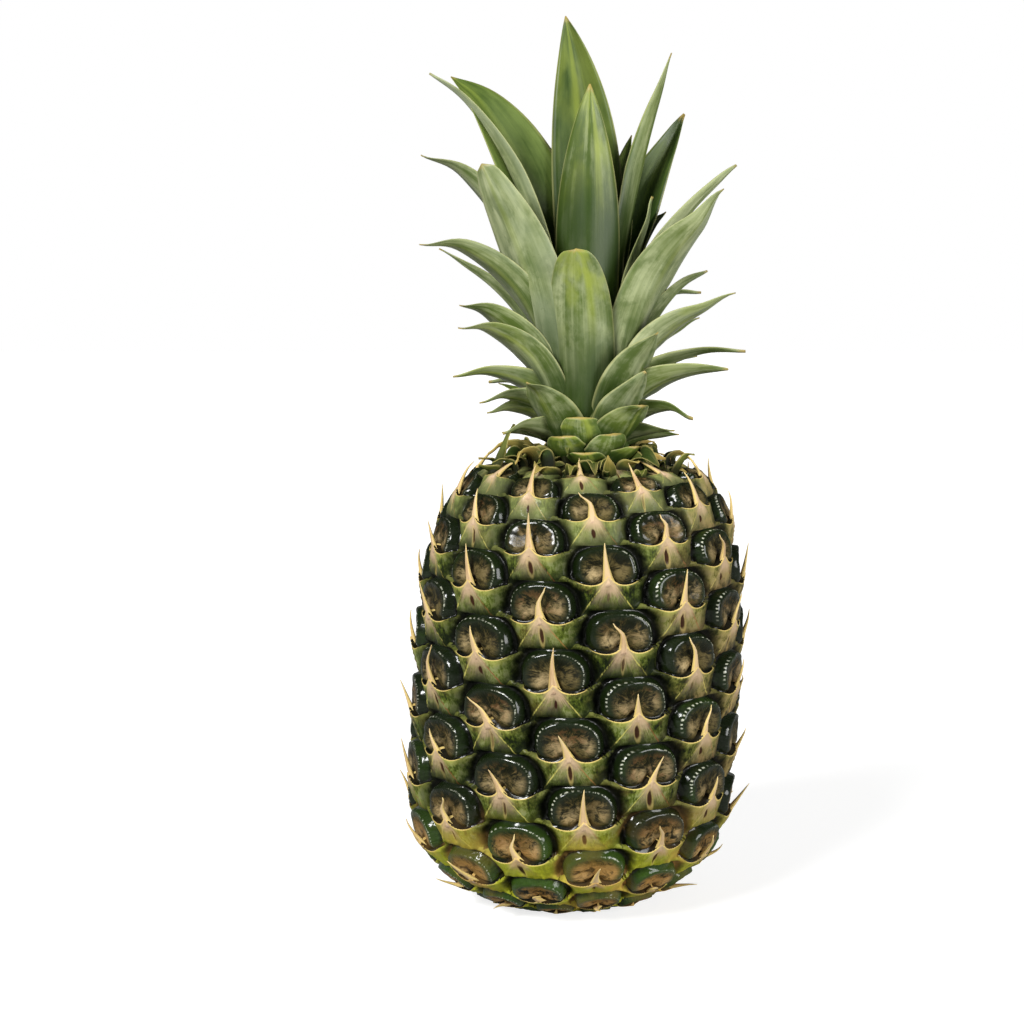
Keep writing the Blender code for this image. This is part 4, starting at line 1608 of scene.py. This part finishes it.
@dataclass(frozen=True)
class LeafFinish(Finish):
    """Leathery leaf: silvery underside, green face, waxy bloom, yellow margins, a dry tip and painted shade
    towards its foot.
    """

    name: str = "crown leaf"
    face: Colour = srgb(44, 64, 16)
    face_bloom: Colour = srgb(98, 116, 50)
    under: Colour = srgb(76, 94, 34)
    under_bloom: Colour = srgb(168, 175, 132)
    worn: Colour = srgb(62, 82, 28)
    grey: Colour = srgb(140, 150, 122)
    yellow: Colour = srgb(142, 154, 60)
    margin: Colour = srgb(190, 186, 126)
    # Dark green painted shade towards the leaf's foot.
    base: Colour = srgb(34, 54, 12)
    dry: Colour = srgb(156, 134, 74)
    stripe_places: tuple[float, float] = (0.25, 0.75)
    margin_places: tuple[float, float] = (0.465, 0.495)
    tip_places: tuple[float, float] = (0.965, 1.01)
    specular: float = 0.34

    def inputs(self, nodes: Nodes, effects: Effects) -> dict[str, object]:
        """Shades both faces by the leaf's tone and dryness, which below 0 adds bloom and, higher, spreads the
        painted shade further from the foot.
        """
        uv = nodes.uv()
        across, along, _ = nodes.parts(uv)
        tone, dry, under = (nodes.stored(layer) for layer in ("tone", "dry", "under"))
        fibre = effects.use(nodes, effects.fibre, UV=uv, Lines=30.0, Waver=0.01)["Fibre"]
        mottle = effects.use(nodes, effects.mottle, Place=nodes.place(), Patch=110.0, Speck=1100.0)
        drawn_out = nodes.vector(across * 2.4, along * 4.0, tone * 30.0)
        bands = nodes.noise(nodes.vector(across * 7.0, along, tone * 30.0), 1.0, 4, 0.6).ramp(0.34, 0.70)
        patches = nodes.noise(drawn_out, 1.3, 5, 0.62, 0.2).ramp(0.34, 0.68)
        dull = nodes.noise(nodes.vector(across * 1.5, along * 2.0, tone * 90.0), 1.0, 2)
        stripes = fibre.ramp(0.36, 0.66)
        cover = patches * 0.45 + bands * 0.4 + stripes * 0.14 + dry * -0.55
        cover = nodes.math("ADD", cover, 0.06, clamp=True)
        face = nodes.coats(self.face, (self.face_bloom, cover * 0.9))
        back = nodes.coats(
            self.under,
            (self.under_bloom, cover),
            (self.worn, mottle["Patches"] * patches.ramp(0.7, 0.2) * 0.4),
            (self.grey, dull.ramp(0.45, 0.65) * dry.ramp(-0.5, 0.6, 0.75, 0.0)),
        )
        glow = nodes.noise(drawn_out, 0.8, 3).ramp(0.42, 0.60) * along.ramp(0.4, 0.8, 0.2, 1.0)
        stripe = across.line(tone.ramp(0.0, 1.0, *self.stripe_places), 0.02, 0.07)
        base_shade_at = along + bands * 0.12 + dry * -0.48
        edge = abs(across - 0.5) + (bands - 0.5) * 0.02
        end = along + (nodes.noise(drawn_out, 3.0, 3) - 0.5) * 0.06 + dry * 0.02
        colour = nodes.coats(
            face,
            (back, under.ramp(0.4, 0.6)),
            (self.yellow, tone.ramp(0.5, 1.0, 0.1, 0.85) * glow),
            (self.yellow, stripe * along.ramp(0.25, 0.6) * tone.ramp(0.3, 0.8) * 0.5),
            # Painted shade towards the leaf's foot, reaching further on drier leaves.
            (self.base, base_shade_at.ramp(0.50, 0.06) * 0.85),
            (self.margin, edge.ramp(*self.margin_places) * 0.32),
            (self.dry, end.ramp(*self.tip_places) * 0.85),
            (self.worn, mottle["Specks"] * 0.2 * along.ramp(0.8, 0.5)),
        )
        return {
            "Base Color": colour,
            "Roughness": patches * 0.12 + stripes * 0.06 + 0.38,
            "Normal": nodes.bump(fibre * along.ramp(0.8, 0.3), 0.3, 0.2 * MM),
            "Specular IOR Level": self.specular,
        }


@dataclass(frozen=True)
class StalkFinish(Finish):
    """Dry cut fibres of the stalk."""

    name: str = "cut stalk"
    pale: Colour = srgb(196, 172, 120)
    brown: Colour = srgb(120, 88, 52)
    roughness: float = 0.85

    def inputs(self, nodes: Nodes, effects: Effects) -> dict[str, object]:
        """Mottles the stalk's pale colour with brown."""
        place = nodes.place()
        mottle = effects.use(nodes, effects.mottle, Place=place, Patch=160.0, Speck=1400.0)
        colour = nodes.coats(
            self.pale, (self.brown, mottle["Patches"] * 0.6), (self.brown, mottle["Specks"] * 0.7)
        )
        grain = nodes.noise(place, 900.0, 4, 0.7)
        return {"Base Color": colour, "Normal": nodes.bump(grain, 0.7, 0.4 * MM), "Roughness": self.roughness}


@dataclass(frozen=True)
class FloorFinish(Finish):
    """Matt pale floor that shows as white as the surroundings."""

    name: str = "floor"
    shade: Colour = (0.4, 0.4, 0.395, 1)
    glow: float = 0.78

    def inputs(self, nodes: Nodes, effects: Effects) -> dict[str, object]:
        """Glows for the camera alone."""
        seen = nodes.value("ShaderNodeLightPath", output="Is Camera Ray")
        return {
            "Base Color": self.shade,
            "Roughness": 1.0,
            "Specular IOR Level": 0.0,
            "Emission Color": WHITE,
            "Emission Strength": seen * self.glow,
        }


@dataclass(frozen=True)
class Studio:
    """Camera, floor and soft lights."""

    distance: float = 800 * MM
    elevation: float = math.radians(6)
    focus_height: float = 148 * MM
    width_seen: float = 358.4 * MM
    sensor: float = 36.0
    shift: tuple[float, float] = (-53.3 / PICTURE_SIDE, -30.4 / PICTURE_SIDE)
    floor_size: float = 8.0
    sky: float = 0.24
    sky_mirrored: float = 0.05
    lights: tuple[tuple[str, str, Triple, float, float], ...] = (
        ("key", "SUN", (-0.50, -0.70, 0.74), math.radians(18), 3.5),
        ("fill", "SUN", (0.88, -0.62, 0.40), math.radians(30), 2.8),
        ("glint", "AREA", (-0.55, -0.62, 0.62), 0.14, 2.2),
    )

    def build(self, effects: Effects) -> None:
        """Sets up the whole studio."""
        self._camera()
        self._floor(effects)
        self._sky()
        for light in self.lights:
            self._light(*light)

    def _camera(self) -> None:
        """Makes the camera at the photograph's viewing angle."""
        data = bpy.data.cameras.new("camera")
        data.sensor_width = self.sensor
        data.lens = self.sensor * self.distance / self.width_seen
        data.shift_x, data.shift_y = self.shift
        camera = bpy.data.objects.new("camera", data)
        back = Vector((0, -math.cos(self.elevation), math.sin(self.elevation)))
        camera.location = Vector((0, 0, self.focus_height)) + back * self.distance
        camera.rotation_euler = (math.pi / 2 - self.elevation, 0, 0)
        bpy.context.scene.collection.objects.link(camera)
        bpy.context.scene.camera = camera

    def _floor(self, effects: Effects) -> None:
        """Makes the pale floor."""
        bm = bmesh.new()
        bmesh.ops.create_grid(bm, x_segments=1, y_segments=1, size=self.floor_size / 2)
        mesh = bpy.data.meshes.new("floor")
        bm.to_mesh(mesh)
        bm.free()
        floor = bpy.data.objects.new("floor", mesh)
        bpy.context.scene.collection.objects.link(floor)
        mesh.materials.append(FloorFinish().material(effects))

    def _sky(self) -> None:
        """Makes the even white surroundings, bright behind the object and softer as a light."""
        world = bpy.data.worlds.new("studio")
        world.use_nodes = True
        bpy.context.scene.world = world
        nodes = Nodes(world.node_tree)
        shown = nodes.value("ShaderNodeLightPath", output="Is Camera Ray") * (1.0 - self.sky)
        mirrored = nodes.value("ShaderNodeLightPath", output="Is Glossy Ray") * (self.sky_mirrored - self.sky)
        background = world.node_tree.nodes["Background"].inputs
        nodes.put(shown + mirrored + self.sky, background["Strength"])
        nodes.put(WHITE, background["Color"])
        bpy.context.scene.view_settings.view_transform = "Standard"

    def _light(self, name: str, kind: str, place: Triple, size: float, strength: float) -> None:
        """Adds a light that faces the fruit.

        Args:
            name: Its name.
            kind: SUN for a distant light, or AREA for a square one.
            place: Where it stands, in metres; for a distant light the side that it shines from.
            size: The angle of a distant light, or the side of a square one in metres.
            strength: Watts a square metre of a distant light, or watts of a square one.
        """
        data = bpy.data.lights.new(name, kind)
        setattr(data, "angle" if kind == "SUN" else "size", size)
        data.energy = strength
        light = bpy.data.objects.new(name, data)
        aim = Vector((0, 0, self.focus_height)) - Vector(place)
        light.location = place
        light.rotation_euler = aim.to_track_quat("-Z", "Y").to_euler()
        bpy.context.scene.collection.objects.link(light)


def main() -> None:
    """Builds the pineapple and its studio."""
    logging.basicConfig(level=logging.INFO, format="%(message)s")
    effects = Effects()
    Studio().build(effects)
    dress(Rind().build(), RindFinish().material(effects), "fruit")
    dress(Thorns().build(), ThornFinish().material(effects), "fruit")
    dress(Collar().build(), CollarFinish().material(effects), "fruit")
    leaf_look = LeafFinish().material(effects)
    for piece in Crown().build():
        dress(piece, leaf_look, "crown")
    stalk = bpy.data.objects["stalk"]
    stalk.data.materials.clear()
    stalk.data.materials.append(StalkFinish().material(effects))


if __name__ == "__main__":
    main()
